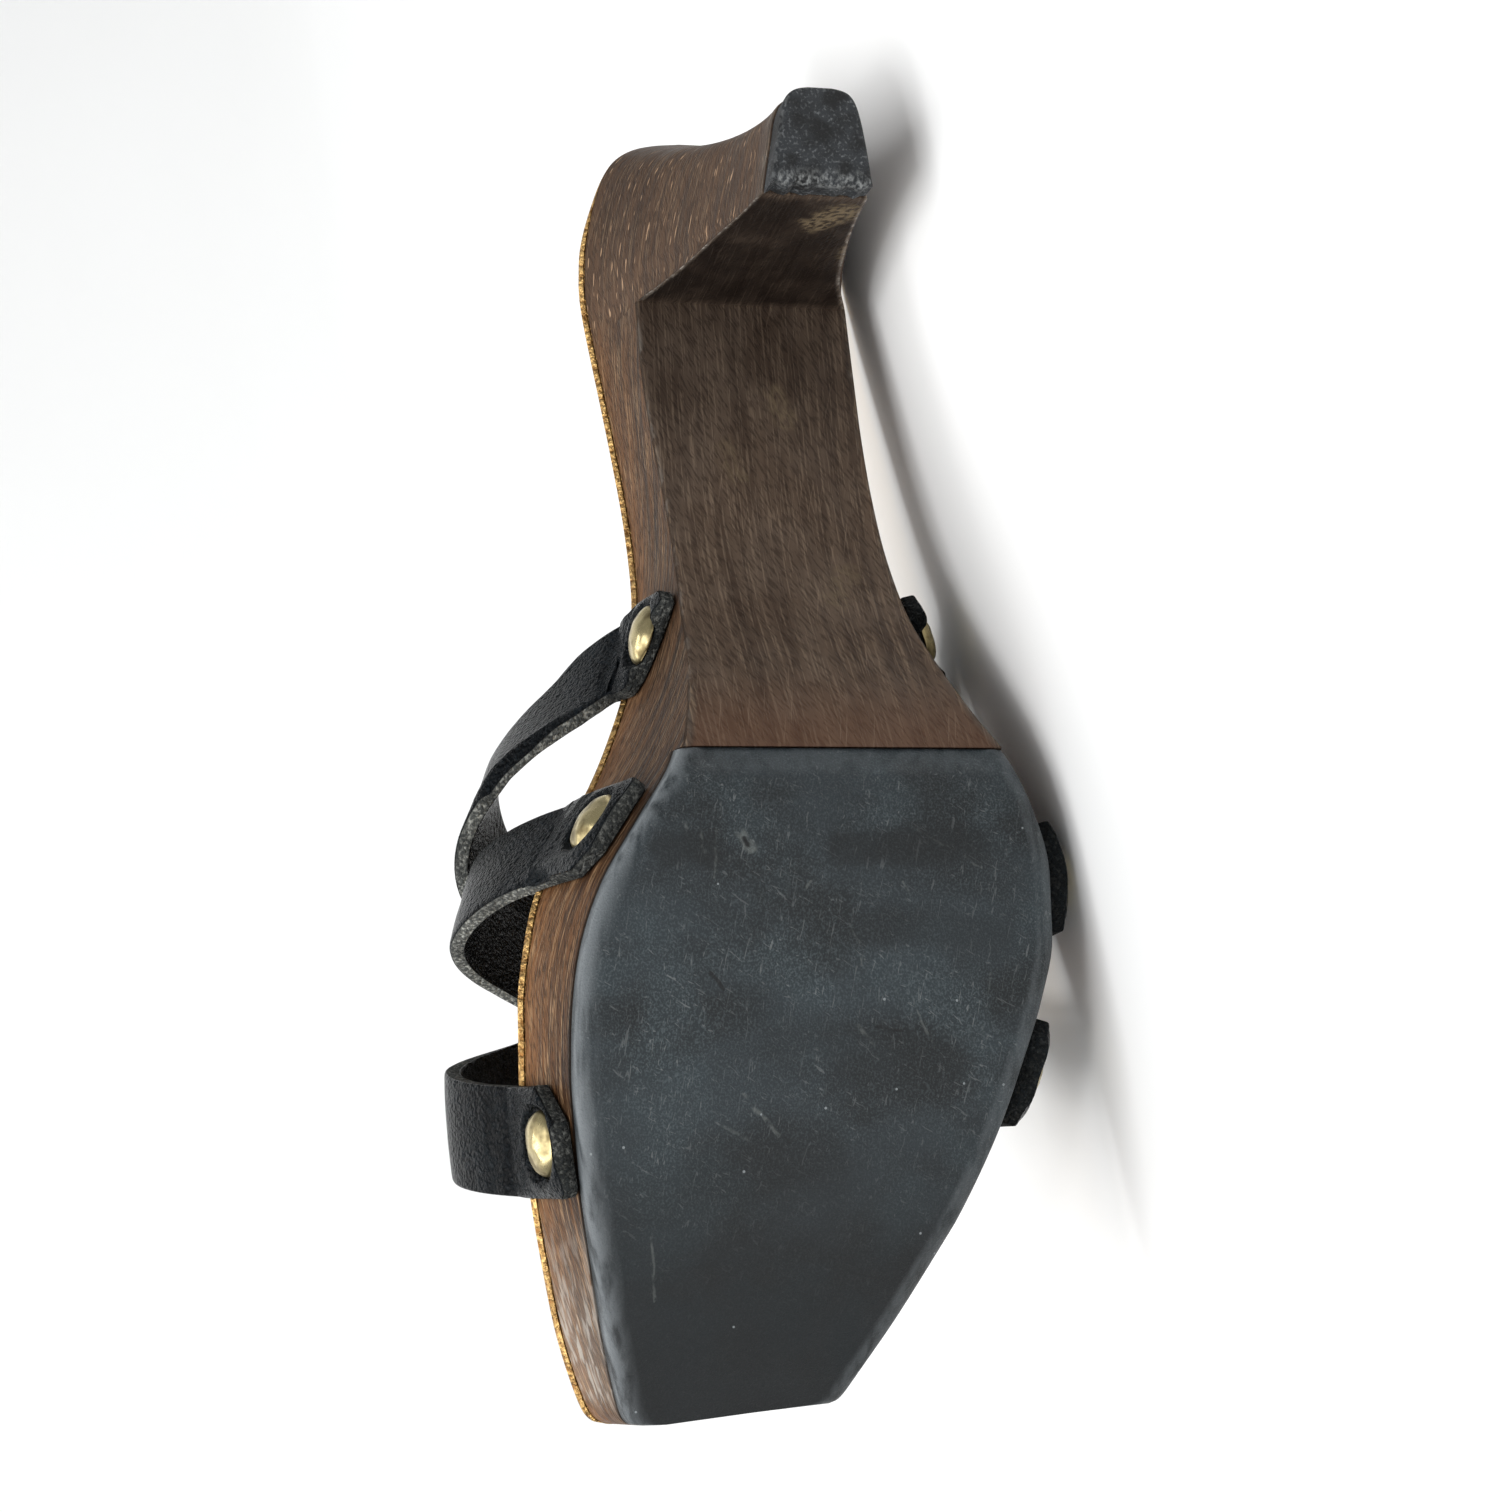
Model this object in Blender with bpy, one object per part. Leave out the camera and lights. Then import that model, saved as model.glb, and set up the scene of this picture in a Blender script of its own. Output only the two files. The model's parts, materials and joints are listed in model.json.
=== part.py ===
"""Kitten-heeled wooden mule for the right foot, lying on its outer side.

The shoe is drawn upright: X runs from the heel's back to the toe, Y points to the inner (medial)
side and Z is up, with the tread on Z = 0. An empty then lays it on the floor. Sizes below are in
millimetres and are turned into metres when a mesh is made.
"""
import math
from collections import namedtuple

import bmesh
import bpy
import numpy as np
from mathutils import Matrix, Vector

MM = 0.001

# Driving sizes of the small parts
GAP = 0.3                 # air left between pieces that meet
INSOLE_THICK = 1.7
RUBBER_THICK = 4.0
LIFT_THICK = 5.5
STRAP_THICK = 2.8
STRAP_WIDTH = 17.6
STUD_RADIUS = 5.4
STUD_HEIGHT = 2.5
STUD_SUNK = 0.7           # a stud's rim is pressed this far into the strap
POCKET_DEPTH = 1.2        # the dent in the strap below it
NAIL_RADIUS = 1.2
NAIL_LENGTH = 9.0
FOOTBED_CUP = 1.6         # how far the footbed dips below its edges
CUP_WIDTH = 45.0          # a narrower footbed dips less
TREAD_EDGE = 1.3          # rounding of the rubber's lower edge
RUBBER_REAR_X = 129.0     # straight rear line of the forefoot rubber
LIFT_INSET = 0.5          # the top lift stands this far inside the wood above it
TOE_SKEW = 0.07           # the toe is cut at a slant, shorter on the lateral side
TOE_SKEW_FROM = 205.0
TOE_SKEW_FULL = 235.0
TOE_MEDIAL_Y = 34.0

# How many steps each mesh takes
ACROSS = 6
DOWN = 6
STUD_SIDES = 16
STRAP_ACROSS = 4
STRAP_STEP = 3.2
SKEW_FADE = 26.0          # a slanting strap end squares up over this length
END_CHAMFER = 2.6         # the corners of a strap's ends are cut off

# The shoe lies on three places: the heel seat's edge behind this x, a lateral stud and the straps
SEAT_FRONT_X = 40.0
RESTING_STUD = "stud_lateral_middle"
RESTING_STRAPS = ("strap_upper", "join_middle_strap", "join_rear_strap")

# One row for each rib of the sole, from toe to heel. A rib joins a point of the footbed's edge
# (x, y on the medial and lateral side, z) to a point of the lower edge, and curl bends the wall
# between them inwards.
Rib = namedtuple("Rib", "x_top medial_top lateral_top z_top x_low medial_low lateral_low z_low curl")
TOE_TO_BREAST = [
    Rib(237.0, 31.5, -1.5, 34.6, 235.6, 30.0, -0.2, 13.2, 1.0),
    Rib(235.8, 34.4, -4.4, 34.3, 234.8, 32.2, -1.8, 12.9, 1.0),
    Rib(232.0, 36.6, -7.8, 33.5, 231.4, 33.6, -4.2, 12.0, 1.0),
    Rib(222.0, 40.0, -14.6, 31.2, 222.0, 35.7, -10.2, 9.3, 1.0),
    Rib(211.0, 42.5, -21.2, 28.9, 211.0, 37.7, -16.3, 6.3, 1.0),
    Rib(200.0, 44.5, -27.2, 27.2, 200.0, 39.6, -22.0, 3.5, 1.0),
    Rib(190.0, 45.7, -30.8, 26.0, 190.0, 40.7, -26.6, 1.5, 1.0),
    Rib(180.0, 46.4, -34.6, 25.4, 180.0, 41.4, -30.3, 0.3, 1.0),
    Rib(170.0, 46.4, -38.0, 25.6, 170.0, 41.0, -33.8, 0.0, 1.0),
    Rib(160.0, 45.2, -40.2, 27.4, 160.0, 39.4, -36.0, 0.0, 1.0),
    Rib(150.0, 42.5, -40.4, 31.0, 150.0, 35.7, -36.0, 0.0, 1.0),
    Rib(140.0, 37.2, -38.8, 35.6, 140.0, 29.6, -34.2, 1.0, 1.0),
    Rib(131.0, 31.8, -36.0, 40.4, 131.0, 23.9, -31.3, 4.4, 1.0),
    Rib(122.0, 27.4, -32.6, 45.6, 122.0, 21.0, -27.2, 11.4, 1.0),
    Rib(112.0, 23.4, -29.4, 51.4, 112.0, 19.0, -24.0, 20.8, 1.0),
    Rib(102.0, 21.0, -26.8, 56.8, 102.0, 18.0, -22.0, 30.6, 1.0),
    Rib(90.0, 20.0, -25.2, 62.0, 90.0, 17.4, -20.8, 39.2, 1.0),
    Rib(78.0, 20.5, -24.4, 66.0, 78.0, 18.0, -20.0, 44.8, 1.0),
    Rib(66.0, 21.8, -23.8, 69.2, 66.0, 19.2, -19.5, 48.8, 1.1),
    Rib(54.0, 23.4, -23.4, 72.0, 53.0, 20.2, -19.2, 52.2, 1.15),
    Rib(43.0, 25.0, -23.3, 74.4, 40.0, 20.4, -18.8, 55.0, 1.2),
]
BREAST_TO_TIP = [
    Rib(39.5, 25.5, -23.3, 75.0, 38.8, 15.8, -14.4, 41.0, 1.22),
    Rib(36.5, 25.9, -23.4, 75.4, 37.4, 12.0, -12.0, 26.0, 1.26),
    Rib(33.5, 26.2, -23.5, 75.8, 36.5, 9.2, -10.8, 14.0, 1.30),
    Rib(30.5, 26.3, -23.5, 76.1, 36.1, 8.0, -10.4, 5.8, 1.36),
]
TIP_TO_BACK = [
    Rib(24.0, 26.0, -23.2, 76.3, 31.6, 7.3, -9.8, 5.8, 1.44),
    Rib(17.0, 24.8, -22.2, 76.4, 27.6, 6.6, -9.2, 5.8, 1.52),
    Rib(10.0, 22.8, -20.4, 76.4, 24.0, 6.0, -8.5, 5.8, 1.58),
    Rib(6.0, 20.4, -18.0, 76.4, 21.6, 5.2, -7.7, 5.8, 1.6),
    Rib(3.6, 17.0, -14.8, 76.4, 20.3, 4.2, -6.7, 5.8, 1.6),
    Rib(2.4, 12.8, -10.8, 76.4, 19.7, 3.0, -5.4, 5.8, 1.6),
    Rib(1.8, 7.5, -6.0, 76.4, 19.4, 1.4, -3.8, 5.8, 1.6),
]

# The foot's form that the straps are laid on: height of the arch above the insole and the slack that
# lets the straps stand out sideways, by place along the shoe
Arch = namedtuple("Arch", "x height slack_medial slack_lateral")
ARCHES = [
    Arch(85.0, 62.0, 22.0, 3.0),
    Arch(105.0, 60.0, 22.0, 3.0),
    Arch(125.0, 57.0, 20.0, 3.0),
    Arch(150.0, 52.0, 15.0, 3.0),
    Arch(170.0, 46.0, 15.0, 4.0),
    Arch(190.0, 41.0, 15.0, 6.0),
    Arch(215.0, 37.0, 14.0, 6.0),
]

# A strap's foot is nailed to the wall: place along the shoe, how far its rear and front corners reach
# below the footbed's edge, and where the nail sits. Its way over the foot is a list of
# (x, share of the way round), and layer says how far it is raised to pass over the others.
Foot = namedtuple("Foot", "x rear_drop front_drop nail_x nail_drop")
Strap = namedtuple("Strap", "name medial way lateral layer")
STRAPS = [
    Strap("front_strap", Foot(190.7, 19.5, 20.0, 190.9, 12.6),
          [(190.4, 0.0), (188.2, 0.14), (182.0, 0.32), (171.0, 0.5), (160.0, 0.68), (152.0, 0.86), (150.0, 1.0)],
          Foot(150.0, 25.0, 25.0, 150.0, 16.5),
          [(0.0, 0.0), (0.5, 0.0), (1.0, 0.0)]),
    Strap("middle_strap", Foot(142.0, 26.5, 25.5, 141.0, 17.5),
          [(143.0, 0.0), (149.0, 0.14), (158.0, 0.32), (169.0, 0.5), (176.0, 0.68), (180.0, 0.86), (181.0, 1.0)],
          Foot(181.0, 20.0, 20.0, 181.0, 13.0),
          [(0.0, 0.0), (0.28, 0.0), (0.42, 2.4), (0.58, 2.4), (0.72, 0.0), (1.0, 0.0)]),
    Strap("rear_strap", Foot(106.0, 21.0, 11.0, 104.5, 12.5),
          [(106.8, 0.0), (117.0, 0.085), (131.0, 0.18), (145.0, 0.305), (152.0, 0.5), (148.0, 0.70),
           (135.0, 0.83), (119.0, 0.92), (106.0, 1.0)],
          Foot(106.0, 21.0, 11.0, 104.5, 12.5),
          [(0.0, 0.0), (0.06, 0.0), (0.14, 2.2), (0.35, 2.2), (0.5, 1.6), (0.65, 2.2), (0.86, 2.2), (0.94, 0.0),
           (1.0, 0.0)]),
]


def smooth(rows, count):
    """Return count rows for each gap of a table, on a curve that passes through every row.

    The curve is level at a row where a column turns back or stays flat, so that flats stay flat.
    """
    data = np.array(rows, dtype=float)
    steps = np.diff(data, axis=0)
    turns = np.where(steps[:-1] * steps[1:] > 0.0, (steps[:-1] + steps[1:]) / 2, 0.0)
    slopes = np.vstack((steps[:1], turns, steps[-1:]))
    out = []
    for i in range(len(data) - 1):
        for t in np.arange(count) / count:
            t2 = t * t
            t3 = t2 * t
            out.append((2 * t3 - 3 * t2 + 1) * data[i] + (t3 - 2 * t2 + t) * slopes[i]
                       + (3 * t2 - 2 * t3) * data[i + 1] + (t3 - t2) * slopes[i + 1])
    out.append(data[-1])
    return np.array(out)


def ribs(rows, count):
    return [Rib(*row) for row in smooth(rows, count)]


FOREPART = ribs(TOE_TO_BREAST, 2)
BREAST = ribs([TOE_TO_BREAST[-1]] + BREAST_TO_TIP, 2)[1:]
BACKPART = ribs([BREAST_TO_TIP[-1]] + TIP_TO_BACK, 2)[1:]
ALL_RIBS = FOREPART + BREAST + BACKPART


FINE = np.array(sorted(ribs(TOE_TO_BREAST, 8)))


def along(name, x):
    """Value of one rib column at a place along the shoe, between toe and breast."""
    return np.interp(x, FINE[:, 0], FINE[:, Rib._fields.index(name)])


def slanted(x, y):
    """Pull a point near the toe back by the slant of the toe."""
    share = np.clip((x - TOE_SKEW_FROM) / (TOE_SKEW_FULL - TOE_SKEW_FROM), 0.0, 1.0)
    return x - TOE_SKEW * share * (TOE_MEDIAL_Y - y)


def wall_point(rib, side, share):
    """Point on the outer wall of a rib: share 0 is the footbed's edge and 1 the lower edge."""
    left = (1.0 - share) ** rib.curl
    y_top, y_low = (rib.medial_top, rib.medial_low) if side > 0 else (rib.lateral_top, rib.lateral_low)
    x = rib.x_low + (rib.x_top - rib.x_low) * left
    y = y_low + (y_top - y_low) * left
    return (slanted(x, y), y, rib.z_top + (rib.z_low - rib.z_top) * share)


def footbed_row(rib, rise):
    """Points across the footbed from medial to lateral, raised by rise."""
    width = rib.medial_top - rib.lateral_top
    cup = FOOTBED_CUP * min(1.0, width / CUP_WIDTH) ** 2
    row = []
    for v in np.linspace(0.0, 1.0, ACROSS + 1):
        y = rib.medial_top + (rib.lateral_top - rib.medial_top) * v
        row.append((slanted(rib.x_top, y), y, rib.z_top + rise - cup * 4 * v * (1 - v)))
    return row


def across(a, b, count=ACROSS):
    return [tuple(np.array(a) + (np.array(b) - np.array(a)) * v) for v in np.linspace(0.0, 1.0, count + 1)]


def new_object(name, mesh_or_none, colour=None, metallic=0.0, roughness=0.6):
    obj = bpy.data.objects.new(name, mesh_or_none)
    bpy.context.scene.collection.objects.link(obj)
    if colour:
        material = bpy.data.materials.new(name)
        material.use_nodes = True
        shader = material.node_tree.nodes["Principled BSDF"]
        shader.inputs["Base Color"].default_value = (*colour, 1.0)
        shader.inputs["Metallic"].default_value = metallic
        shader.inputs["Roughness"].default_value = roughness
        mesh_or_none.materials.append(material)
    return obj


def mesh_from(name, points, faces):
    """Mesh in metres from points in mm, with flat faces that point outwards."""
    mesh = bpy.data.meshes.new(name)
    mesh.from_pydata([tuple(MM * c for c in p) for p in points], [], faces)
    shape = bmesh.new()
    shape.from_mesh(mesh)
    bmesh.ops.triangulate(shape, faces=shape.faces)
    bmesh.ops.recalc_face_normals(shape, faces=shape.faces)
    shape.to_mesh(mesh)
    shape.free()
    return mesh


def skin(loops, cap_first, cap_last):
    """Join closed loops of equal length with quads. The caps are given as grids of loop places."""
    size = len(loops[0])
    points = [p for loop in loops for p in loop]
    faces = []
    for k in range(len(loops) - 1):
        for i in range(size):
            j = (i + 1) % size
            faces.append((k * size + i, k * size + j, (k + 1) * size + j, (k + 1) * size + i))
    for grid, base in ((cap_first, 0), (cap_last, (len(loops) - 1) * size)):
        faces.extend(tuple(base + i for i in cell) for cell in grid)
    return points, faces


def strip_cap(top_count, side_count):
    """Cells that close a loop made of a top row, one side, a bottom row and the other side.

    The two sides are joined straight across, and the top and bottom rows close as one cell each.
    """
    a, b = top_count, side_count
    size = 2 * (a + b)
    cells = [tuple(range(a + 1)) + (a + 1, size - 1)]
    for i in range(1, b - 1):
        cells.append((a + i, a + i + 1, size - i - 1, size - i))
    cells.append((a + b - 1,) + tuple(range(a + b, 2 * a + b + 1)) + (2 * a + b + 1,))
    return cells


def wood_loop(rib, low_share):
    """Closed loop of the wooden sole at one rib, cut off at low_share of its wall."""
    shares = np.linspace(0.0, low_share, DOWN + 1)
    lateral = [wall_point(rib, -1, s) for s in shares]
    medial = [wall_point(rib, 1, s) for s in shares]
    top = footbed_row(rib, 0.0)
    bottom = across(lateral[-1], medial[-1])
    return top + lateral[1:] + bottom[1:] + medial[-2:0:-1]


def rubber_share(rib):
    """Share of the wall that is wood where the forefoot rubber covers the rest."""
    return 1.0 - (RUBBER_THICK + GAP) / (rib.z_top - rib.z_low)


def at_x(x):
    """The rib at one place along the forepart."""
    return Rib(*[x if n in ("x_top", "x_low") else float(along(n, x)) for n in Rib._fields])


def build_base():
    fore = [r for r in FOREPART if r.x_top > RUBBER_REAR_X + 1.0]
    behind = [r for r in FOREPART if r.x_top < RUBBER_REAR_X - 1.0]
    loops = [wood_loop(r, rubber_share(r)) for r in fore]
    step = at_x(RUBBER_REAR_X)
    loops.append(wood_loop(step, rubber_share(step)))
    loops.append(wood_loop(at_x(RUBBER_REAR_X - GAP), 1.0))
    loops.extend(wood_loop(r, 1.0) for r in behind + BREAST + BACKPART)
    cap = strip_cap(ACROSS, DOWN)
    mesh = mesh_from("wooden_base", *skin(loops, cap, cap))
    return new_object("wooden_base", mesh, (0.11, 0.05, 0.03))


def build_insole():
    loops = []
    for rib in ALL_RIBS:
        low = footbed_row(rib, GAP)
        high = footbed_row(rib, GAP + INSOLE_THICK)
        loops.append(high + low[::-1])
    cap = [(i, i + 1, 2 * ACROSS - i, 2 * ACROSS + 1 - i) for i in range(ACROSS)]
    mesh = mesh_from("insole", *skin(loops, cap, cap))
    return new_object("insole", mesh, (0.62, 0.44, 0.18), 0.8, 0.4)


def build_outsole():
    loops = []
    fore = [r for r in FOREPART if r.x_top > RUBBER_REAR_X + 1.0]
    for rib in fore + [at_x(RUBBER_REAR_X)]:
        height = rib.z_top - rib.z_low
        upper = 1.0 - RUBBER_THICK / height
        lower = 1.0 - TREAD_EDGE / height
        sides = {}
        for side in (1, -1):
            foot = np.array(wall_point(rib, side, 1.0)) - np.array((0.0, side * TREAD_EDGE, 0.0))
            sides[side] = [wall_point(rib, side, upper), wall_point(rib, side, lower), tuple(foot)]
        top = across(sides[1][0], sides[-1][0])
        bottom = across(sides[-1][2], sides[1][2])
        loops.append(top + [sides[-1][1]] + bottom + [sides[1][1]])
    cap = strip_cap(ACROSS, 2)
    mesh = mesh_from("forefoot_outsole", *skin(loops, cap, cap))
    return new_object("forefoot_outsole", mesh, (0.03, 0.03, 0.035), 0.0, 0.7)


def build_top_lift():
    ring = [BREAST[-1]] + BACKPART
    outline = [(r.x_low, r.medial_low - LIFT_INSET) for r in ring]
    outline += [(r.x_low, r.lateral_low + LIFT_INSET) for r in ring[::-1]]
    count = len(outline)
    half = count // 2
    points = [(x, y, z) for z in (LIFT_THICK, 0.0) for x, y in outline]
    faces = [(i, (i + 1) % count, count + (i + 1) % count, count + i) for i in range(count)]
    for base in (0, count):
        faces.extend((base + i, base + i + 1, base + count - 2 - i, base + count - 1 - i) for i in range(half - 1))
    mesh = mesh_from("heel_top_lift", points, faces)
    return new_object("heel_top_lift", mesh, (0.04, 0.04, 0.04), 0.0, 0.8)


def arch_at(x):
    return Arch(x, *[np.interp(x, [a.x for a in ARCHES], [getattr(a, n) for a in ARCHES])
                     for n in ("height", "slack_medial", "slack_lateral")])


def arch_point(x, share):
    """Point on the foot's form, where share runs from the medial edge (0) over the top to the lateral."""
    arch = arch_at(x)
    medial = along("medial_top", x)
    lateral = along("lateral_top", x)
    turn = math.pi * share
    slack = arch.slack_medial if share < 0.5 else arch.slack_lateral
    y = (medial + lateral) / 2 + (medial - lateral) / 2 * math.cos(turn) + slack * math.sin(2 * turn)
    return np.array((x, y, along("z_top", x) + GAP + INSOLE_THICK + arch.height * math.sin(turn)))


def measure_girth(x):
    points = [arch_point(x, s) for s in np.linspace(0.0, 1.0, 33)]
    return sum(np.linalg.norm(b - a) for a, b in zip(points, points[1:]))


GIRTH_X = np.arange(70.0, 231.0, 4.0)
GIRTHS = [measure_girth(x) for x in GIRTH_X]


def girth(x):
    """Length in mm over the foot's form from edge to edge at one place along the shoe."""
    return np.interp(x, GIRTH_X, GIRTHS)


def form_point(x, reach):
    """Point at a reach in mm round the foot's form; below 0 and beyond the girth it runs down the walls."""
    total = girth(x)
    if 0.0 <= reach <= total:
        return arch_point(x, reach / total)
    side, drop = (1, -reach) if reach < 0.0 else (-1, reach - total)
    rise = GAP + INSOLE_THICK
    rib = at_x(x)
    share = (drop - rise) / (rib.z_top - rib.z_low)
    edge = wall_point(rib, side, max(share, 0.0))
    return np.array((edge[0], edge[1], rib.z_top + rise - drop))


def form_frame(x, reach, step=0.6):
    """Point, the two surface directions and the outward normal of the form."""
    along_x = (form_point(x + step, reach) - form_point(x - step, reach)) / (2 * step)
    around = (form_point(x, reach + step) - form_point(x, reach - step)) / (2 * step)
    normal = np.cross(around, along_x)
    return form_point(x, reach), along_x, around, normal / np.linalg.norm(normal)


def strap_way(strap):
    """The strap's middle line as rows of x, reach round the form and layer, evenly spaced."""
    rise = GAP + INSOLE_THICK
    rows = [(strap.medial.x, -(strap.medial.rear_drop + strap.medial.front_drop) / 2 - rise)]
    rows += [(x, share * girth(x)) for x, share in strap.way]
    end = strap.lateral
    rows.append((end.x, girth(end.x) + (end.rear_drop + end.front_drop) / 2 + rise))
    fine = smooth(rows, 24)
    places = np.array([form_point(*row) for row in fine])
    run = np.concatenate(([0.0], np.cumsum(np.linalg.norm(np.diff(places, axis=0), axis=1))))
    count = int(run[-1] / STRAP_STEP)
    even = np.linspace(0.0, run[-1], count + 1)
    return [(np.interp(r, run, fine[:, 0]), np.interp(r, run, fine[:, 1])) for r in even]


def layer_at(strap, x, reach):
    shares = [s for s, _ in strap.layer]
    return np.interp(reach / girth(x), shares, [h for _, h in strap.layer])


def end_skew(strap, k, last):
    """How far the front edge of a strap is pulled along its way near the slanting ends."""
    near_start = max(0.0, 1.0 - k * STRAP_STEP / SKEW_FADE)
    near_end = max(0.0, 1.0 - (last - k) * STRAP_STEP / SKEW_FADE)
    start = (strap.medial.rear_drop - strap.medial.front_drop) / 2
    end = (strap.lateral.front_drop - strap.lateral.rear_drop) / 2
    return near_start * start + near_end * end


def strap_loops(strap):
    way = strap_way(strap)
    loops = []
    for k, (x, reach) in enumerate(way):
        skew = end_skew(strap, k, len(way) - 1)
        ahead = way[min(k + 1, len(way) - 1)]
        behind = way[max(k - 1, 0)]
        _, along_x, around, normal = form_frame(x, reach)
        heading = along_x * (ahead[0] - behind[0]) + around * (ahead[1] - behind[1])
        sideways = np.cross(normal, heading)
        sideways /= np.linalg.norm(sideways)
        basis = np.column_stack((along_x, around))
        step_x, step_reach = np.linalg.lstsq(basis, sideways, rcond=None)[0]
        half = STRAP_WIDTH / 2 - (END_CHAMFER if k in (0, len(way) - 1) else 0.0)
        inner, outer = [], []
        for w in np.linspace(-half, half, STRAP_ACROSS + 1):
            px = x + w * step_x
            pr = reach + w * step_reach + skew * w / (STRAP_WIDTH / 2)
            place, _, _, out = form_frame(px, pr)
            raised = GAP + layer_at(strap, x, reach)
            inner.append(tuple(place + out * raised))
            outer.append(tuple(place + out * (raised + STRAP_THICK)))
        loops.append(outer + inner[::-1])
    return loops


def build_straps():
    pieces = []
    for strap in STRAPS:
        cap = [(i, i + 1, 2 * STRAP_ACROSS - i, 2 * STRAP_ACROSS + 1 - i) for i in range(STRAP_ACROSS)]
        mesh = mesh_from(strap.name, *skin(strap_loops(strap), cap, cap))
        pieces.append(mesh)
    upper = new_object("strap_upper", pieces[0], (0.015, 0.015, 0.015), 0.0, 0.45)
    for mesh in pieces[1:]:
        cutter(upper, new_object("join_" + mesh.name, mesh), "UNION")
    return upper


def cutter(target, tool, operation):
    tool.hide_render = True
    tool.display_type = "WIRE"
    change = target.modifiers.new(operation.lower() + "_" + tool.name, "BOOLEAN")
    change.operation = operation
    change.solver = "EXACT"
    change.object = tool


def nail_frame(foot, side):
    """Point on the strap's outer face where a nail goes in, and the outward direction."""
    rise = GAP + INSOLE_THICK
    reach = -foot.nail_drop - rise if side > 0 else girth(foot.nail_x) + foot.nail_drop + rise
    place, _, _, out = form_frame(foot.nail_x, reach)
    return place + out * (GAP + STRAP_THICK), out


def stud_name(side, foot):
    """Name of a stud by its side and its place from heel to toe."""
    nails = sorted((strap.medial if side > 0 else strap.lateral).nail_x for strap in STRAPS)
    place = ("rear", "middle", "front")[nails.index(foot.nail_x)]
    return "stud_%s_%s" % ("medial" if side > 0 else "lateral", place)


def turned(profile, place, out, sides):
    """Solid of revolution: profile rows are (height along out, radius), the first and last at radius 0."""
    axis = Vector(out)
    frame = axis.to_track_quat("Z", "Y").to_matrix()
    points = [Vector(place) + axis * profile[0][0]]
    for height, radius in profile[1:-1]:
        for k in range(sides):
            angle = 2 * math.pi * k / sides
            points.append(Vector(place) + frame @ Vector((radius * math.cos(angle), radius * math.sin(angle), height)))
    points.append(Vector(place) + axis * profile[-1][0])
    rings = len(profile) - 2
    faces = [(0, 1 + (k + 1) % sides, 1 + k) for k in range(sides)]
    for r in range(rings - 1):
        for k in range(sides):
            a, b = 1 + r * sides + k, 1 + r * sides + (k + 1) % sides
            faces.append((a, b, b + sides, a + sides))
    last = 1 + rings * sides
    faces += [(last, last - sides + k, last - sides + (k + 1) % sides) for k in range(sides)]
    return [tuple(p) for p in points], faces


def build_studs(upper, base):
    studs = []
    hole_points, hole_faces = [], []
    dome = [(STUD_HEIGHT * math.sin(a) - STUD_SUNK, STUD_RADIUS * math.cos(a))
            for a in np.radians((0.0, 14.0, 30.0, 48.0, 68.0))]
    nail = [(-NAIL_LENGTH, 0.0), (-NAIL_LENGTH + 2.0, NAIL_RADIUS), (-STUD_SUNK, NAIL_RADIUS)]
    for strap in STRAPS:
        for side, foot in ((1, strap.medial), (-1, strap.lateral)):
            place, out = nail_frame(foot, side)
            profile = nail + dome + [(STUD_HEIGHT - STUD_SUNK, 0.0)]
            name = stud_name(side, foot)
            mesh = mesh_from(name, *turned(profile, place, out, STUD_SIDES))
            studs.append(new_object(name, mesh, (0.36, 0.24, 0.10), 1.0, 0.35))
            bore = [(-NAIL_LENGTH - GAP, 0.0), (-NAIL_LENGTH - GAP, NAIL_RADIUS + GAP),
                    (-POCKET_DEPTH, NAIL_RADIUS + GAP), (-POCKET_DEPTH, STUD_RADIUS + GAP),
                    (2.0, STUD_RADIUS + GAP), (2.0, 0.0)]
            points, faces = turned(bore, place, out, STUD_SIDES)
            hole_faces += [tuple(i + len(hole_points) for i in f) for f in faces]
            hole_points += points
    holes = new_object("nail_holes", mesh_from("nail_holes", hole_points, hole_faces))
    cutter(base, holes, "DIFFERENCE")
    cutter(upper, holes, "DIFFERENCE")
    return studs


def points_of(name):
    return np.array([v.co for v in bpy.data.objects[name].data.vertices])


def lying_pose(shown):
    """Matrix that lays the shoe on its lateral side with the sole facing -Y and the toe towards -X."""
    sole = np.vstack((points_of("wooden_base"), points_of("insole")))
    seat = sole[sole[:, 0] < SEAT_FRONT_X * MM]
    straps = np.vstack([points_of(name) for name in RESTING_STRAPS])
    groups = (seat, points_of(RESTING_STUD), straps)
    down = np.array((0.0, -1.0, 0.0))
    for _ in range(20):
        a, b, c = (group[np.argmax(group @ down)] for group in groups)
        normal = np.cross(b - a, c - a)
        down = -normal * np.sign(normal[1]) / np.linalg.norm(normal)
    toe = np.array((1.0, 0.0, 0.0)) - down * down[0]
    rows = np.array((-toe / np.linalg.norm(toe), np.zeros(3), -down))
    rows[1] = np.cross(rows[2], rows[0])
    turned_points = np.vstack([points_of(name) for name in shown]) @ rows.T
    low, high = turned_points.min(axis=0), turned_points.max(axis=0)
    shift = (-(low[0] + high[0]) / 2, -(low[1] + high[1]) / 2, -low[2])
    return Matrix.Translation(shift) @ Matrix(rows.tolist()).to_4x4()


def main():
    for obj in list(bpy.data.objects):
        bpy.data.objects.remove(obj)
    base = build_base()
    upper = build_straps()
    build_insole()
    build_outsole()
    build_top_lift()
    build_studs(upper, base)
    pose = bpy.data.objects.new("lying_pose", None)
    bpy.context.scene.collection.objects.link(pose)
    meshes = [obj for obj in bpy.context.scene.objects if obj.type == "MESH"]
    pose.matrix_world = lying_pose([obj.name for obj in meshes if obj.name != "nail_holes"])
    for obj in meshes:
        obj.parent = pose


main()
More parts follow.
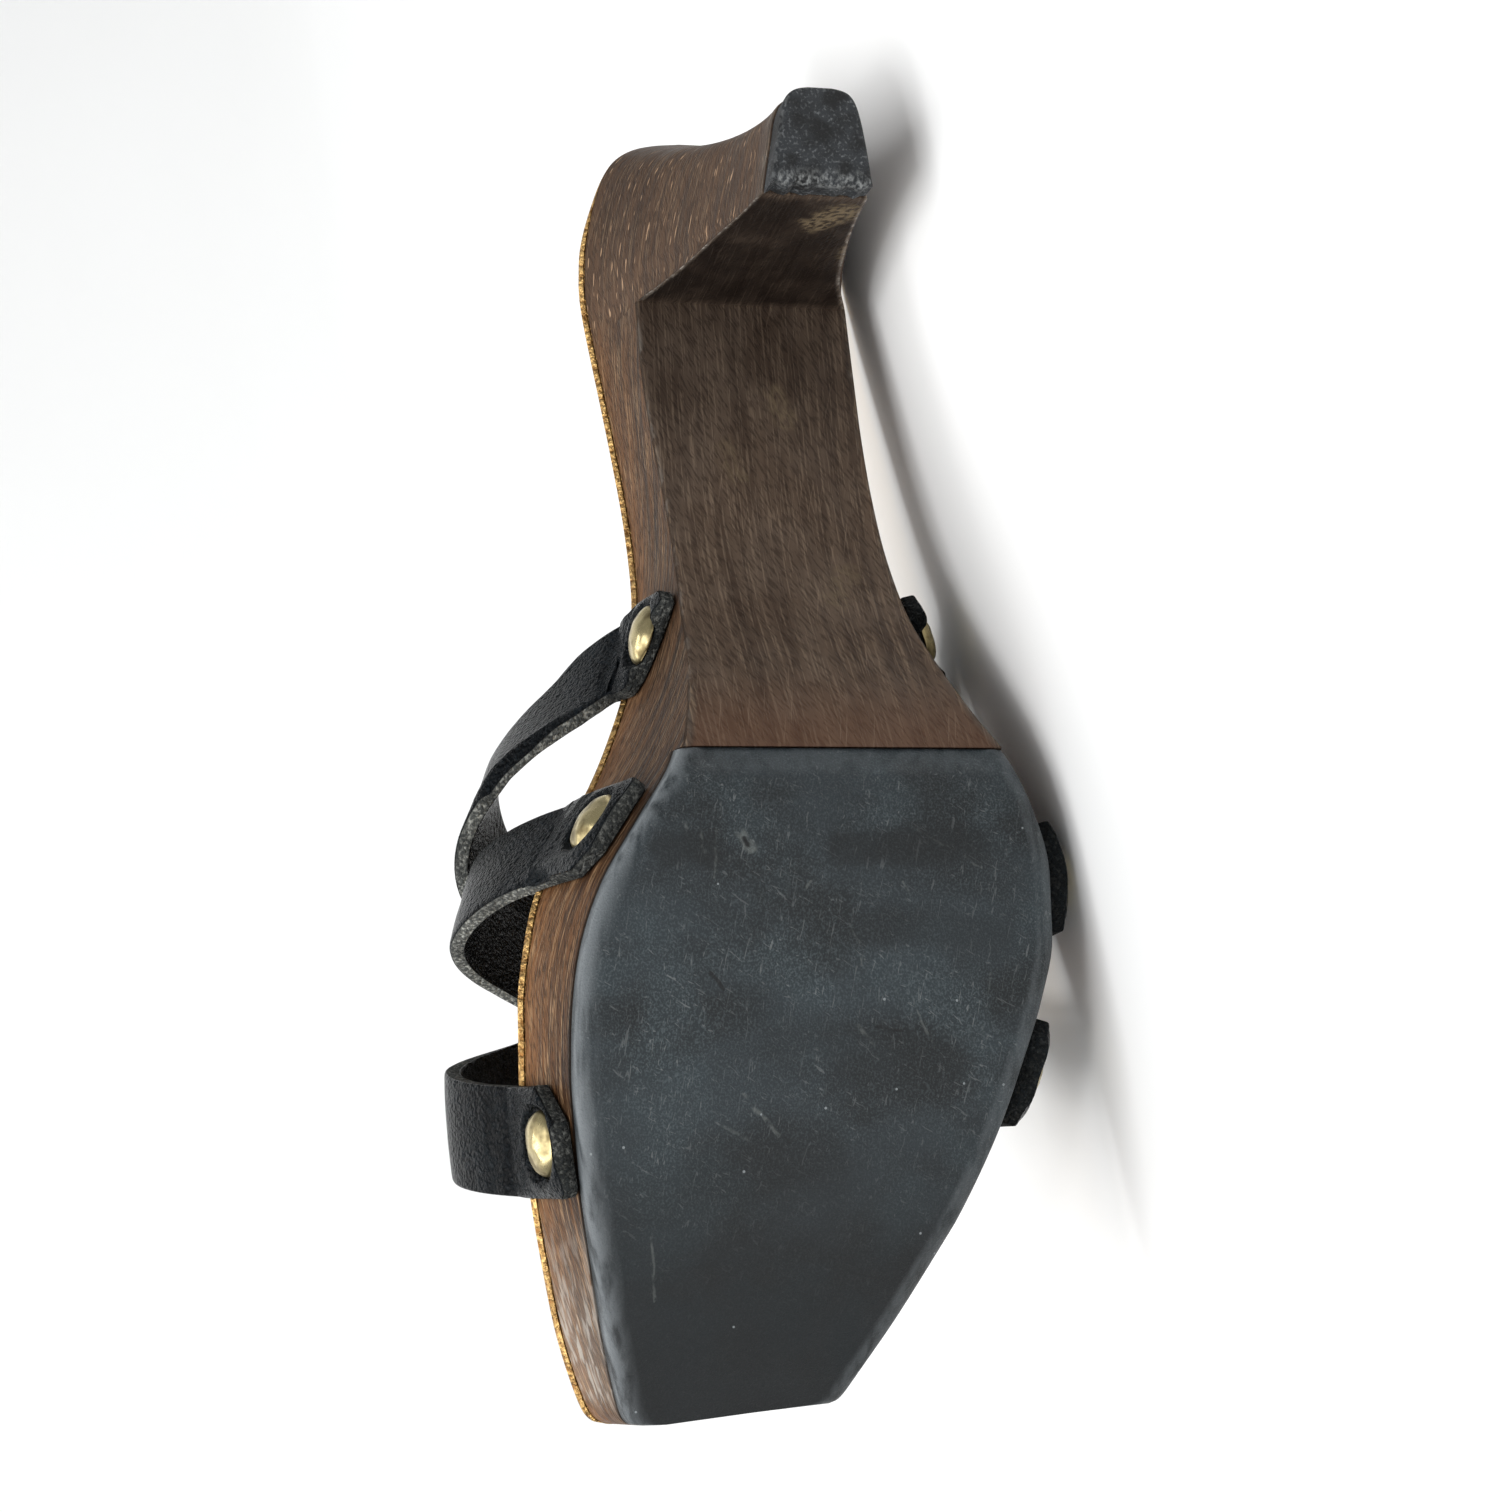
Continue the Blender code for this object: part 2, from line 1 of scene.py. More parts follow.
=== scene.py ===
"""Looks of a kitten-heeled wooden mule for the right foot, lying on its outer side.

Shapes are worked out upright in millimetres, as in the part's source: X runs from the heel's back to
the toe, Y points to the inner (medial) side and Z is up, with the tread on Z = 0. They are then laid
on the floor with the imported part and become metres.
"""
import json
import math
from collections import namedtuple

import bpy
import numpy as np
from mathutils import Matrix, Vector


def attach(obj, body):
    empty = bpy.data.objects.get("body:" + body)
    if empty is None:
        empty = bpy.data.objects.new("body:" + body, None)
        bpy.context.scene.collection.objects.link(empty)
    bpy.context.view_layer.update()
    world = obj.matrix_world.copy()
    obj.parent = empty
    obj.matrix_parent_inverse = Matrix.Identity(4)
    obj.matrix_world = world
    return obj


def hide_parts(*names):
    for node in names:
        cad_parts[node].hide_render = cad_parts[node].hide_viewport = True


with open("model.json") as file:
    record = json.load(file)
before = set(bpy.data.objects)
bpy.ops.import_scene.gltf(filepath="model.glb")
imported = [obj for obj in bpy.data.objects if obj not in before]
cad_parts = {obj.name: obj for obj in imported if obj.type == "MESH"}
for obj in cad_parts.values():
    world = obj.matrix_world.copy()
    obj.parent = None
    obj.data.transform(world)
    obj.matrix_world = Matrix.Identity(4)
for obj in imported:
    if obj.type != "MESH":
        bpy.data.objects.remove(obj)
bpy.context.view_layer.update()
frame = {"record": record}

MM = 0.001

# Sizes shared with the solids, in mm
GAP = 0.3
INSOLE_THICK = 1.7
RUBBER_THICK = 4.0
LIFT_THICK = 5.5
STRAP_THICK = 2.8
STRAP_WIDTH = 17.6
STUD_RADIUS = 5.4
STUD_HEIGHT = 2.5
STUD_SUNK = 0.7
FOOTBED_CUP = 1.6
CUP_WIDTH = 45.0
RUBBER_REAR_X = 129.0
LIFT_INSET = 0.5
TOE_SKEW = 0.07
TOE_SKEW_FROM = 205.0
TOE_SKEW_FULL = 235.0
TOE_MEDIAL_Y = 34.0
SKEW_FADE = 26.0
END_CHAMFER = 2.6

# Where the two tread mounts of the record lie on the upright shoe
FOREFOOT_SPOT = (160.0, 0.0, 0.0)
HEEL_SPOT = (28.0, -1.4, 0.0)

# Sizes that only the looks have, in mm
WOOD_EDGE = 0.7           # softened lower edges of the wood
SEAM_EDGE = 0.6           # softening next to the rubber
TREAD_EDGE_IN = 3.4       # rounding of the rubber's tread edge, inwards and upwards
TREAD_EDGE_UP = 2.3
RIM_PROUD = {1: 1.1, -1: 0.2}    # the insole's rim stands out past the wood, less on the side it lies on
SKIVE_LENGTH = 4.2        # the rubber's rear end is bevelled over this length
SKIVE_DEPTH = 0.55
POCKET_DEPTH = 0.95       # dent in the strap under a stud
PUFF_HEIGHT = 0.75        # leather that swells round a stud
PUFF_RADIUS = 7.4
PUFF_WIDTH = 1.5
PRESSED_LINE_IN = 2.1     # line pressed into the straps, from their long edges and from their medial ends
PRESSED_LINE_END = 2.4
PRESSED_LINE_HALF = 0.28

# Lower end of the shank, where the heel's breast starts, in mm
RIDGE_X = 39.9
RIDGE_Z = 55.0

# How finely the meshes are drawn
ALONG = 6
ACROSS = 30
DOWN = 18
STRAP_STEP = 0.8

Rib = namedtuple("Rib", "x_top medial_top lateral_top z_top x_low medial_low lateral_low z_low curl")
TOE_TO_BREAST = [
    Rib(237.0, 31.5, -1.5, 34.6, 235.6, 30.0, -0.2, 13.2, 1.0),
    Rib(235.8, 34.4, -4.4, 34.3, 234.8, 32.2, -1.8, 12.9, 1.0),
    Rib(232.0, 36.6, -7.8, 33.5, 231.4, 33.6, -4.2, 12.0, 1.0),
    Rib(222.0, 40.0, -14.6, 31.2, 222.0, 35.7, -10.2, 9.3, 1.0),
    Rib(211.0, 42.5, -21.2, 28.9, 211.0, 37.7, -16.3, 6.3, 1.0),
    Rib(200.0, 44.5, -27.2, 27.2, 200.0, 39.6, -22.0, 3.5, 1.0),
    Rib(190.0, 45.7, -30.8, 26.0, 190.0, 40.7, -26.6, 1.5, 1.0),
    Rib(180.0, 46.4, -34.6, 25.4, 180.0, 41.4, -30.3, 0.3, 1.0),
    Rib(170.0, 46.4, -38.0, 25.6, 170.0, 41.0, -33.8, 0.0, 1.0),
    Rib(160.0, 45.2, -40.2, 27.4, 160.0, 39.4, -36.0, 0.0, 1.0),
    Rib(150.0, 42.5, -40.4, 31.0, 150.0, 35.7, -36.0, 0.0, 1.0),
    Rib(140.0, 37.2, -38.8, 35.6, 140.0, 29.6, -34.2, 1.0, 1.0),
    Rib(131.0, 31.8, -36.0, 40.4, 131.0, 23.9, -31.3, 4.4, 1.0),
    Rib(122.0, 27.4, -32.6, 45.6, 122.0, 21.0, -27.2, 11.4, 1.0),
    Rib(112.0, 23.4, -29.4, 51.4, 112.0, 19.0, -24.0, 20.8, 1.0),
    Rib(102.0, 21.0, -26.8, 56.8, 102.0, 18.0, -22.0, 30.6, 1.0),
    Rib(90.0, 20.0, -25.2, 62.0, 90.0, 17.4, -20.8, 39.2, 1.0),
    Rib(78.0, 20.5, -24.4, 66.0, 78.0, 18.0, -20.0, 44.8, 1.0),
    Rib(66.0, 21.8, -23.8, 69.2, 66.0, 19.2, -19.5, 48.8, 1.1),
    Rib(54.0, 23.4, -23.4, 72.0, 53.0, 20.2, -19.2, 52.2, 1.15),
    Rib(43.0, 25.0, -23.3, 74.4, 40.0, 20.4, -18.8, 55.0, 1.2),
]
BREAST_TO_TIP = [
    Rib(39.5, 25.5, -23.3, 75.0, 38.8, 15.8, -14.4, 41.0, 1.22),
    Rib(36.5, 25.9, -23.4, 75.4, 37.4, 12.0, -12.0, 26.0, 1.26),
    Rib(33.5, 26.2, -23.5, 75.8, 36.5, 9.2, -10.8, 14.0, 1.30),
    Rib(30.5, 26.3, -23.5, 76.1, 36.1, 8.0, -10.4, 5.8, 1.36),
]
TIP_TO_BACK = [
    Rib(24.0, 26.0, -23.2, 76.3, 31.6, 7.3, -9.8, 5.8, 1.44),
    Rib(17.0, 24.8, -22.2, 76.4, 27.6, 6.6, -9.2, 5.8, 1.52),
    Rib(10.0, 22.8, -20.4, 76.4, 24.0, 6.0, -8.5, 5.8, 1.58),
    Rib(6.0, 20.4, -18.0, 76.4, 21.6, 5.2, -7.7, 5.8, 1.6),
    Rib(3.6, 17.0, -14.8, 76.4, 20.3, 4.2, -6.7, 5.8, 1.6),
    Rib(2.4, 12.8, -10.8, 76.4, 19.7, 3.0, -5.4, 5.8, 1.6),
    Rib(1.8, 7.5, -6.0, 76.4, 19.4, 1.4, -3.8, 5.8, 1.6),
]

Arch = namedtuple("Arch", "x height slack_medial slack_lateral")
ARCHES = [
    Arch(85.0, 62.0, 22.0, 3.0),
    Arch(105.0, 60.0, 22.0, 3.0),
    Arch(125.0, 57.0, 20.0, 3.0),
    Arch(150.0, 52.0, 15.0, 3.0),
    Arch(170.0, 46.0, 15.0, 4.0),
    Arch(190.0, 41.0, 15.0, 6.0),
    Arch(215.0, 37.0, 14.0, 6.0),
]

Foot = namedtuple("Foot", "x rear_drop front_drop nail_x nail_drop")
Strap = namedtuple("Strap", "name medial way lateral layer")
STRAPS = [
    Strap("front_strap", Foot(190.7, 19.5, 20.0, 190.9, 12.6),
          [(190.4, 0.0), (188.2, 0.14), (182.0, 0.32), (171.0, 0.5), (160.0, 0.68), (152.0, 0.86), (150.0, 1.0)],
          Foot(150.0, 25.0, 25.0, 150.0, 16.5),
          [(0.0, 0.0), (0.5, 0.0), (1.0, 0.0)]),
    Strap("middle_strap", Foot(142.0, 26.5, 25.5, 141.0, 17.5),
          [(143.0, 0.0), (149.0, 0.14), (158.0, 0.32), (169.0, 0.5), (176.0, 0.68), (180.0, 0.86), (181.0, 1.0)],
          Foot(181.0, 20.0, 20.0, 181.0, 13.0),
          [(0.0, 0.0), (0.28, 0.0), (0.42, 2.4), (0.58, 2.4), (0.72, 0.0), (1.0, 0.0)]),
    Strap("rear_strap", Foot(106.0, 21.0, 11.0, 104.5, 12.5),
          [(106.8, 0.0), (117.0, 0.085), (131.0, 0.18), (145.0, 0.305), (152.0, 0.5), (148.0, 0.70),
           (135.0, 0.83), (119.0, 0.92), (106.0, 1.0)],
          Foot(106.0, 21.0, 11.0, 104.5, 12.5),
          [(0.0, 0.0), (0.06, 0.0), (0.14, 2.2), (0.35, 2.2), (0.5, 1.6), (0.65, 2.2), (0.86, 2.2), (0.94, 0.0),
           (1.0, 0.0)]),
]

# Soft troughs (depth above 0) and ridges (below 0) in the straps' outer face: from and to are places
# along the strap from its medial end and across it from its heel side, all in mm
Crease = namedtuple("Crease", "strap from_along from_across to_along to_across depth width")
CREASES = [
    Crease("front_strap", 17.0, -8.0, 19.5, 7.5, 0.35, 0.8),
    Crease("front_strap", 19.8, -8.0, 21.6, 6.5, -0.25, 1.0),
    Crease("front_strap", 22.4, -7.5, 24.4, 8.0, 0.30, 0.9),
    Crease("front_strap", 27.5, -6.0, 28.6, 8.0, 0.18, 1.0),
    Crease("middle_strap", 18.5, -8.5, 21.5, 6.0, 0.30, 0.8),
    Crease("middle_strap", 21.5, -8.0, 24.5, 8.0, -0.22, 1.0),
    Crease("middle_strap", 26.0, -8.5, 29.0, 5.0, 0.25, 0.9),
    Crease("middle_strap", 33.0, -4.0, 36.0, 8.0, 0.15, 1.2),
    Crease("rear_strap", 14.5, -8.5, 15.5, 8.5, 0.45, 0.9),
    Crease("rear_strap", 17.2, -8.5, 18.6, 6.5, -0.30, 1.0),
    Crease("rear_strap", 20.2, -7.5, 22.5, 7.0, 0.28, 0.9),
]


# Marks on the upright shoe, from and to in mm: scuffs and nicks of the tread, rubbed spots of the wood
Mark = namedtuple("Mark", "start end width strength")
PALE_SCUFFS = [
    Mark((139.5, 22.5, 0.5), (147.0, 21.0, 0.2), 0.35, 0.60),
    Mark((142.5, 19.0, 0.4), (150.5, 19.6, 0.1), 0.30, 0.50),
    Mark((140.5, 24.0, 0.4), (145.5, 23.5, 0.1), 0.30, 0.45),
    Mark((136.0, 2.5, 1.5), (138.0, 0.8, 1.2), 0.55, 0.55),
    Mark((132.6, -3.0, 2.5), (134.0, -6.0, 2.3), 0.60, 0.70),
    Mark((143.6, 15.0, 0.5), (145.8, 13.4, 0.3), 1.30, 0.60),
    Mark((151.5, -11.0, 0.0), (153.5, -12.0, 0.0), 0.40, 0.60),
    Mark((158.0, -2.0, 0.0), (161.0, -3.8, 0.0), 0.35, 0.50),
    Mark((163.0, -4.0, 0.0), (170.0, -5.0, 0.0), 0.30, 0.45),
    Mark((170.0, -12.0, 0.0), (177.5, -15.0, 0.2), 0.30, 0.45),
    Mark((174.0, -3.0, 0.1), (177.0, -5.5, 0.2), 0.40, 0.50),
    Mark((184.0, 16.0, 0.6), (191.0, 10.0, 1.6), 0.50, 0.50),
    Mark((189.0, 19.0, 1.4), (192.0, 14.0, 1.8), 0.45, 0.40),
    Mark((151.0, 4.0, 0.0), (155.0, 6.5, 0.0), 0.30, 0.45),
    Mark((166.0, -25.0, 0.0), (184.0, -22.0, 0.8), 0.30, 0.40),
    Mark((143.0, -14.0, 0.6), (149.0, -24.0, 0.1), 0.30, 0.40),
    Mark((206.0, 30.0, 5.2), (216.0, 29.0, 7.6), 0.35, 0.35),
]
NICKS = [
    Mark((144.3, 14.6, 0.4), (145.2, 14.0, 0.3), 0.60, 0.95),
    Mark((165.5, 20.5, 0.0), (168.0, 18.6, 0.0), 0.50, 0.85),
    Mark((174.4, -6.0, 0.1), (174.8, -10.0, 0.1), 0.45, 0.80),
    Mark((156.5, 2.5, 0.0), (158.5, 1.2, 0.0), 0.40, 0.70),
    Mark((191.0, 9.0, 1.6), (192.0, 8.2, 1.8), 0.50, 0.80),
]
SMUDGES = [
    Mark((146.0, 27.5, 0.3), (146.5, 20.0, 0.2), 4.2, 0.55),
    Mark((146.0, -1.5, 0.2), (145.0, -24.0, 0.3), 4.4, 0.60),
    Mark((158.0, -8.0, 0.0), (160.0, -26.0, 0.0), 5.0, 0.30),
    Mark((176.0, 8.0, 0.2), (180.0, -16.0, 0.4), 7.0, 0.25),
    Mark((196.0, 20.0, 2.6), (197.0, 2.0, 2.8), 8.0, 0.30),
]
RUBBED_WOOD = [
    Mark((37.0, -4.8, 17.5), (36.8, -8.0, 12.0), 4.6, 0.85),
    Mark((38.4, -12.8, 33.0), (38.0, -12.2, 27.0), 1.6, 0.40),
    Mark((58.0, -4.0, 51.0), (63.0, -6.0, 49.5), 3.0, 0.35),
    Mark((69.0, 6.0, 47.8), (74.0, 4.0, 46.2), 3.0, 0.30),
    Mark((93.0, -13.0, 37.2), (99.0, -10.0, 32.8), 3.5, 0.30),
]


def smooth(rows, count):
    """Return count rows for each gap of a table, on a curve that passes through every row."""
    data = np.array(rows, dtype=float)
    steps = np.diff(data, axis=0)
    turns = np.where(steps[:-1] * steps[1:] > 0.0, (steps[:-1] + steps[1:]) / 2, 0.0)
    slopes = np.vstack((steps[:1], turns, steps[-1:]))
    out = []
    for i in range(len(data) - 1):
        for t in np.arange(count) / count:
            t2 = t * t
            t3 = t2 * t
            out.append((2 * t3 - 3 * t2 + 1) * data[i] + (t3 - 2 * t2 + t) * slopes[i]
                       + (3 * t2 - 2 * t3) * data[i + 1] + (t3 - t2) * slopes[i + 1])
    out.append(data[-1])
    return np.array(out)


def ribs(rows, count):
    return [Rib(*row) for row in smooth(rows, count)]


FOREPART = ribs(TOE_TO_BREAST, ALONG)
BREAST = ribs([TOE_TO_BREAST[-1]] + BREAST_TO_TIP, ALONG)[1:]
BACKPART = ribs([BREAST_TO_TIP[-1]] + TIP_TO_BACK, ALONG)[1:]
ALL_RIBS = FOREPART + BREAST + BACKPART
FINE = np.array(sorted(ribs(TOE_TO_BREAST, 8)))


def ease(value, start, end):
    """0 at start, 1 at end, with soft ends."""
    t = np.clip((value - start) / (end - start), 0.0, 1.0)
    return t * t * (3 - 2 * t)


def along(name, x):
    return np.interp(x, FINE[:, 0], FINE[:, Rib._fields.index(name)])


def at_x(x):
    return Rib(*[x if n in ("x_top", "x_low") else float(along(n, x)) for n in Rib._fields])


def slanted(x, y):
    """Pull a point near the toe back by the slant of the toe."""
    share = np.clip((x - TOE_SKEW_FROM) / (TOE_SKEW_FULL - TOE_SKEW_FROM), 0.0, 1.0)
    return x - TOE_SKEW * share * (TOE_MEDIAL_Y - y)


def wall_point(rib, side, share):
    """Point on the outer wall of a rib: share 0 is the footbed's edge and 1 the lower edge."""
    left = (1.0 - share) ** rib.curl
    y_top, y_low = (rib.medial_top, rib.medial_low) if side > 0 else (rib.lateral_top, rib.lateral_low)
    x = rib.x_low + (rib.x_top - rib.x_low) * left
    y = y_low + (y_top - y_low) * left
    return (slanted(x, y), y, rib.z_top + (rib.z_low - rib.z_top) * share)


def footbed_row(rib, rise, count):
    width = rib.medial_top - rib.lateral_top
    cup = FOOTBED_CUP * min(1.0, width / CUP_WIDTH) ** 2
    row = []
    for v in np.linspace(0.0, 1.0, count + 1):
        y = rib.medial_top + (rib.lateral_top - rib.medial_top) * v
        row.append((slanted(rib.x_top, y), y, rib.z_top + rise - cup * 4 * v * (1 - v)))
    return row


def across(a, b, count):
    return [tuple(np.array(a) + (np.array(b) - np.array(a)) * v) for v in np.linspace(0.0, 1.0, count + 1)]


def skin(loops, cap_first, cap_last):
    """Join closed loops of equal length with quads. The caps are given as cells of loop places."""
    size = len(loops[0])
    points = [p for loop in loops for p in loop]
    faces = []
    for k in range(len(loops) - 1):
        for i in range(size):
            j = (i + 1) % size
            faces.append((k * size + i, k * size + j, (k + 1) * size + j, (k + 1) * size + i))
    last = (len(loops) - 1) * size
    faces.extend(tuple(cell)[::-1] for cell in cap_first)
    faces.extend(tuple(last + i for i in cell) for cell in cap_last)
    return points, faces


def shoe_to_world():
    """Matrix from the upright shoe in mm to the world in metres, from the record's two tread mounts."""
    mounts = {m["name"]: m for m in frame["record"]["mounts"]}
    fore = Vector(mounts["forefoot_tread"]["pos_m"])
    heel = Vector(mounts["heel_tread"]["pos_m"])
    up = -Vector(mounts["forefoot_tread"]["axis"]).normalized()
    way = Vector(FOREFOOT_SPOT) - Vector(HEEL_SPOT)
    turn = math.atan2(way.y, way.x)
    ahead = (fore - heel).normalized()
    toe = ahead * math.cos(turn) - up.cross(ahead) * math.sin(turn)
    turned = Matrix((toe, up.cross(toe), up)).transposed()
    start = fore - turned @ (Vector(FOREFOOT_SPOT) * MM)
    return Matrix.Translation(start) @ turned.to_4x4() @ Matrix.Scale(MM, 4)


PLACE = shoe_to_world()


def new_piece(name, points, faces, material, nodes, values):
    """Smooth mesh piece laid on the floor. It keeps its upright shoe place in mm for the materials."""
    points = np.array(points, dtype=float)
    turn = np.array(PLACE.to_3x3())
    placed = points @ turn.T + np.array(PLACE.translation)
    mesh = bpy.data.meshes.new(name)
    mesh.from_pydata(placed.tolist(), [], faces)
    shoe = mesh.attributes.new("shoe", "FLOAT_VECTOR", "POINT")
    shoe.data.foreach_set("vector", points.astype(np.float32).ravel())
    for key, column in values.items():
        column = np.array(column, dtype=np.float32)
        kind = "FLOAT_VECTOR" if column.ndim == 2 else "FLOAT"
        layer = mesh.attributes.new(key, kind, "POINT")
        layer.data.foreach_set("vector" if column.ndim == 2 else "value", column.ravel())
    outward(mesh)
    mesh.polygons.foreach_set("use_smooth", [True] * len(mesh.polygons))
    mesh.set_sharp_from_angle(angle=math.radians(40))
    mesh.materials.append(material)
    return ride(bpy.data.objects.new(name, mesh), nodes)


def outward(mesh):
    """Turn a closed mesh's faces outwards by the sign of its volume."""
    mesh.calc_loop_triangles()
    corners = np.array([v.co for v in mesh.vertices])[[t.vertices[:] for t in mesh.loop_triangles]]
    volume = np.einsum("ij,ij->i", corners[:, 0], np.cross(corners[:, 1], corners[:, 2])).sum()
    if volume < 0.0:
        mesh.flip_normals()


def ride(obj, nodes):
    bpy.context.scene.collection.objects.link(obj)
    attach(obj, "root")
    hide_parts(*nodes)
    return obj


# Materials

def linear(hex_colour):
    """Linear colour of an sRGB hex value."""
    parts = [int(hex_colour[i:i + 2], 16) / 255 for i in (1, 3, 5)]
    return tuple(c / 12.92 if c <= 0.04045 else ((c + 0.055) / 1.055) ** 2.4 for c in parts) + (1.0,)


def wire(tree, node, inputs):
    """Give a node's inputs their values, hex colours or links."""
    for key, value in inputs.items():
        if isinstance(value, bpy.types.NodeSocket):
            tree.links.new(value, node.inputs[key])
        else:
            node.inputs[key].default_value = linear(value) if str(value).startswith("#") else value


def add(tree, kind, settings, inputs):
    """Add a node with its settings and links."""
    node = tree.nodes.new(kind)
    for name, value in settings.items():
        setattr(node, name, value)
    wire(tree, node, inputs)
    return node


def new_material(name):
    material = bpy.data.materials.new(name)
    material.use_nodes = True
    return material, material.node_tree


def surfaced(material, inputs, height, relief_mm):
    """Give a material's shader its values and links, and the relief of a height map of 0 to 1."""
    tree = material.node_tree
    bump = add(tree, "ShaderNodeBump", {}, {"Height": height, "Distance": relief_mm * MM})
    wire(tree, tree.nodes["Principled BSDF"], {**inputs, "Normal": bump.outputs["Normal"]})
    return material


def pattern_place(tree, sizes, on="shoe", shift=(0.0, 0.0, 0.0), turn=(0.0, 0.0, 0.0)):
    """Place for a pattern whose features have the given sizes in mm, moved and turned on the piece."""
    place = add(tree, "ShaderNodeAttribute", {"attribute_name": on}, {}).outputs["Vector"]
    return add(tree, "ShaderNodeMapping", {"vector_type": "TEXTURE"},
               {"Vector": place, "Location": shift, "Rotation": turn, "Scale": sizes}).outputs["Vector"]


def cloud(tree, sizes, low, high, detail=4.0, bend=0.0, **place):
    """Soft mask of 0 to 1: noise with the given sizes in mm, cut between low and high."""
    noise = add(tree, "ShaderNodeTexNoise", {},
                {"Vector": pattern_place(tree, sizes, **place), "Scale": 1.0, "Detail": detail, "Distortion": bend})
    cut = add(tree, "ShaderNodeMapRange", {"interpolation_type": "SMOOTHSTEP"},
              {"Value": noise.outputs["Fac"], "From Min": low, "From Max": high})
    return cut.outputs["Result"]


def laid_over(tree, colour, tint, mask, strength=1.0):
    """A colour with a tint over it where a mask shows it."""
    share = add(tree, "ShaderNodeMath", {"operation": "MULTIPLY"}, {0: mask, 1: strength}).outputs[0]
    return add(tree, "ShaderNodeMix", {"data_type": "RGBA"}, {0: share, 6: colour, 7: tint}).outputs[2]


def marks(tree, rows, shake_mm):
    """Mask of placed marks: the nearness to lines on the shoe, a little shaken so that they look drawn."""
    at = add(tree, "ShaderNodeAttribute", {"attribute_name": "shoe"}, {}).outputs["Vector"]
    noise = add(tree, "ShaderNodeTexNoise", {}, {"Vector": pattern_place(tree, (2.5, 2.5, 2.5)), "Scale": 1.0})
    shake = add(tree, "ShaderNodeVectorMath", {"operation": "SUBTRACT"},
                {0: noise.outputs["Color"], 1: (0.5, 0.5, 0.5)})
    place = add(tree, "ShaderNodeVectorMath", {"operation": "MULTIPLY_ADD"},
                {0: shake.outputs["Vector"], 1: (shake_mm, shake_mm, shake_mm), 2: at}).outputs["Vector"]
    mask = 0.0
    for mark in rows:
        way = Vector(mark.end) - Vector(mark.start)
        off = add(tree, "ShaderNodeVectorMath", {"operation": "SUBTRACT"}, {0: place, 1: mark.start}).outputs["Vector"]
        run = add(tree, "ShaderNodeVectorMath", {"operation": "DOT_PRODUCT"}, {0: off, 1: way / way.length_squared})
        held = add(tree, "ShaderNodeClamp", {}, {"Value": run.outputs["Value"]}).outputs["Result"]
        nearest = add(tree, "ShaderNodeVectorMath", {"operation": "SCALE"}, {0: way, "Scale": held}).outputs["Vector"]
        far = add(tree, "ShaderNodeVectorMath", {"operation": "DISTANCE"}, {0: off, 1: nearest}).outputs["Value"]
        line = add(tree, "ShaderNodeMapRange", {"interpolation_type": "SMOOTHSTEP"},
                   {"Value": far, "From Min": mark.width, "From Max": 0.3 * mark.width, "To Max": mark.strength})
        mask = add(tree, "ShaderNodeMath", {"operation": "MAXIMUM"}, {0: mask, 1: line.outputs["Result"]}).outputs[0]
    return mask


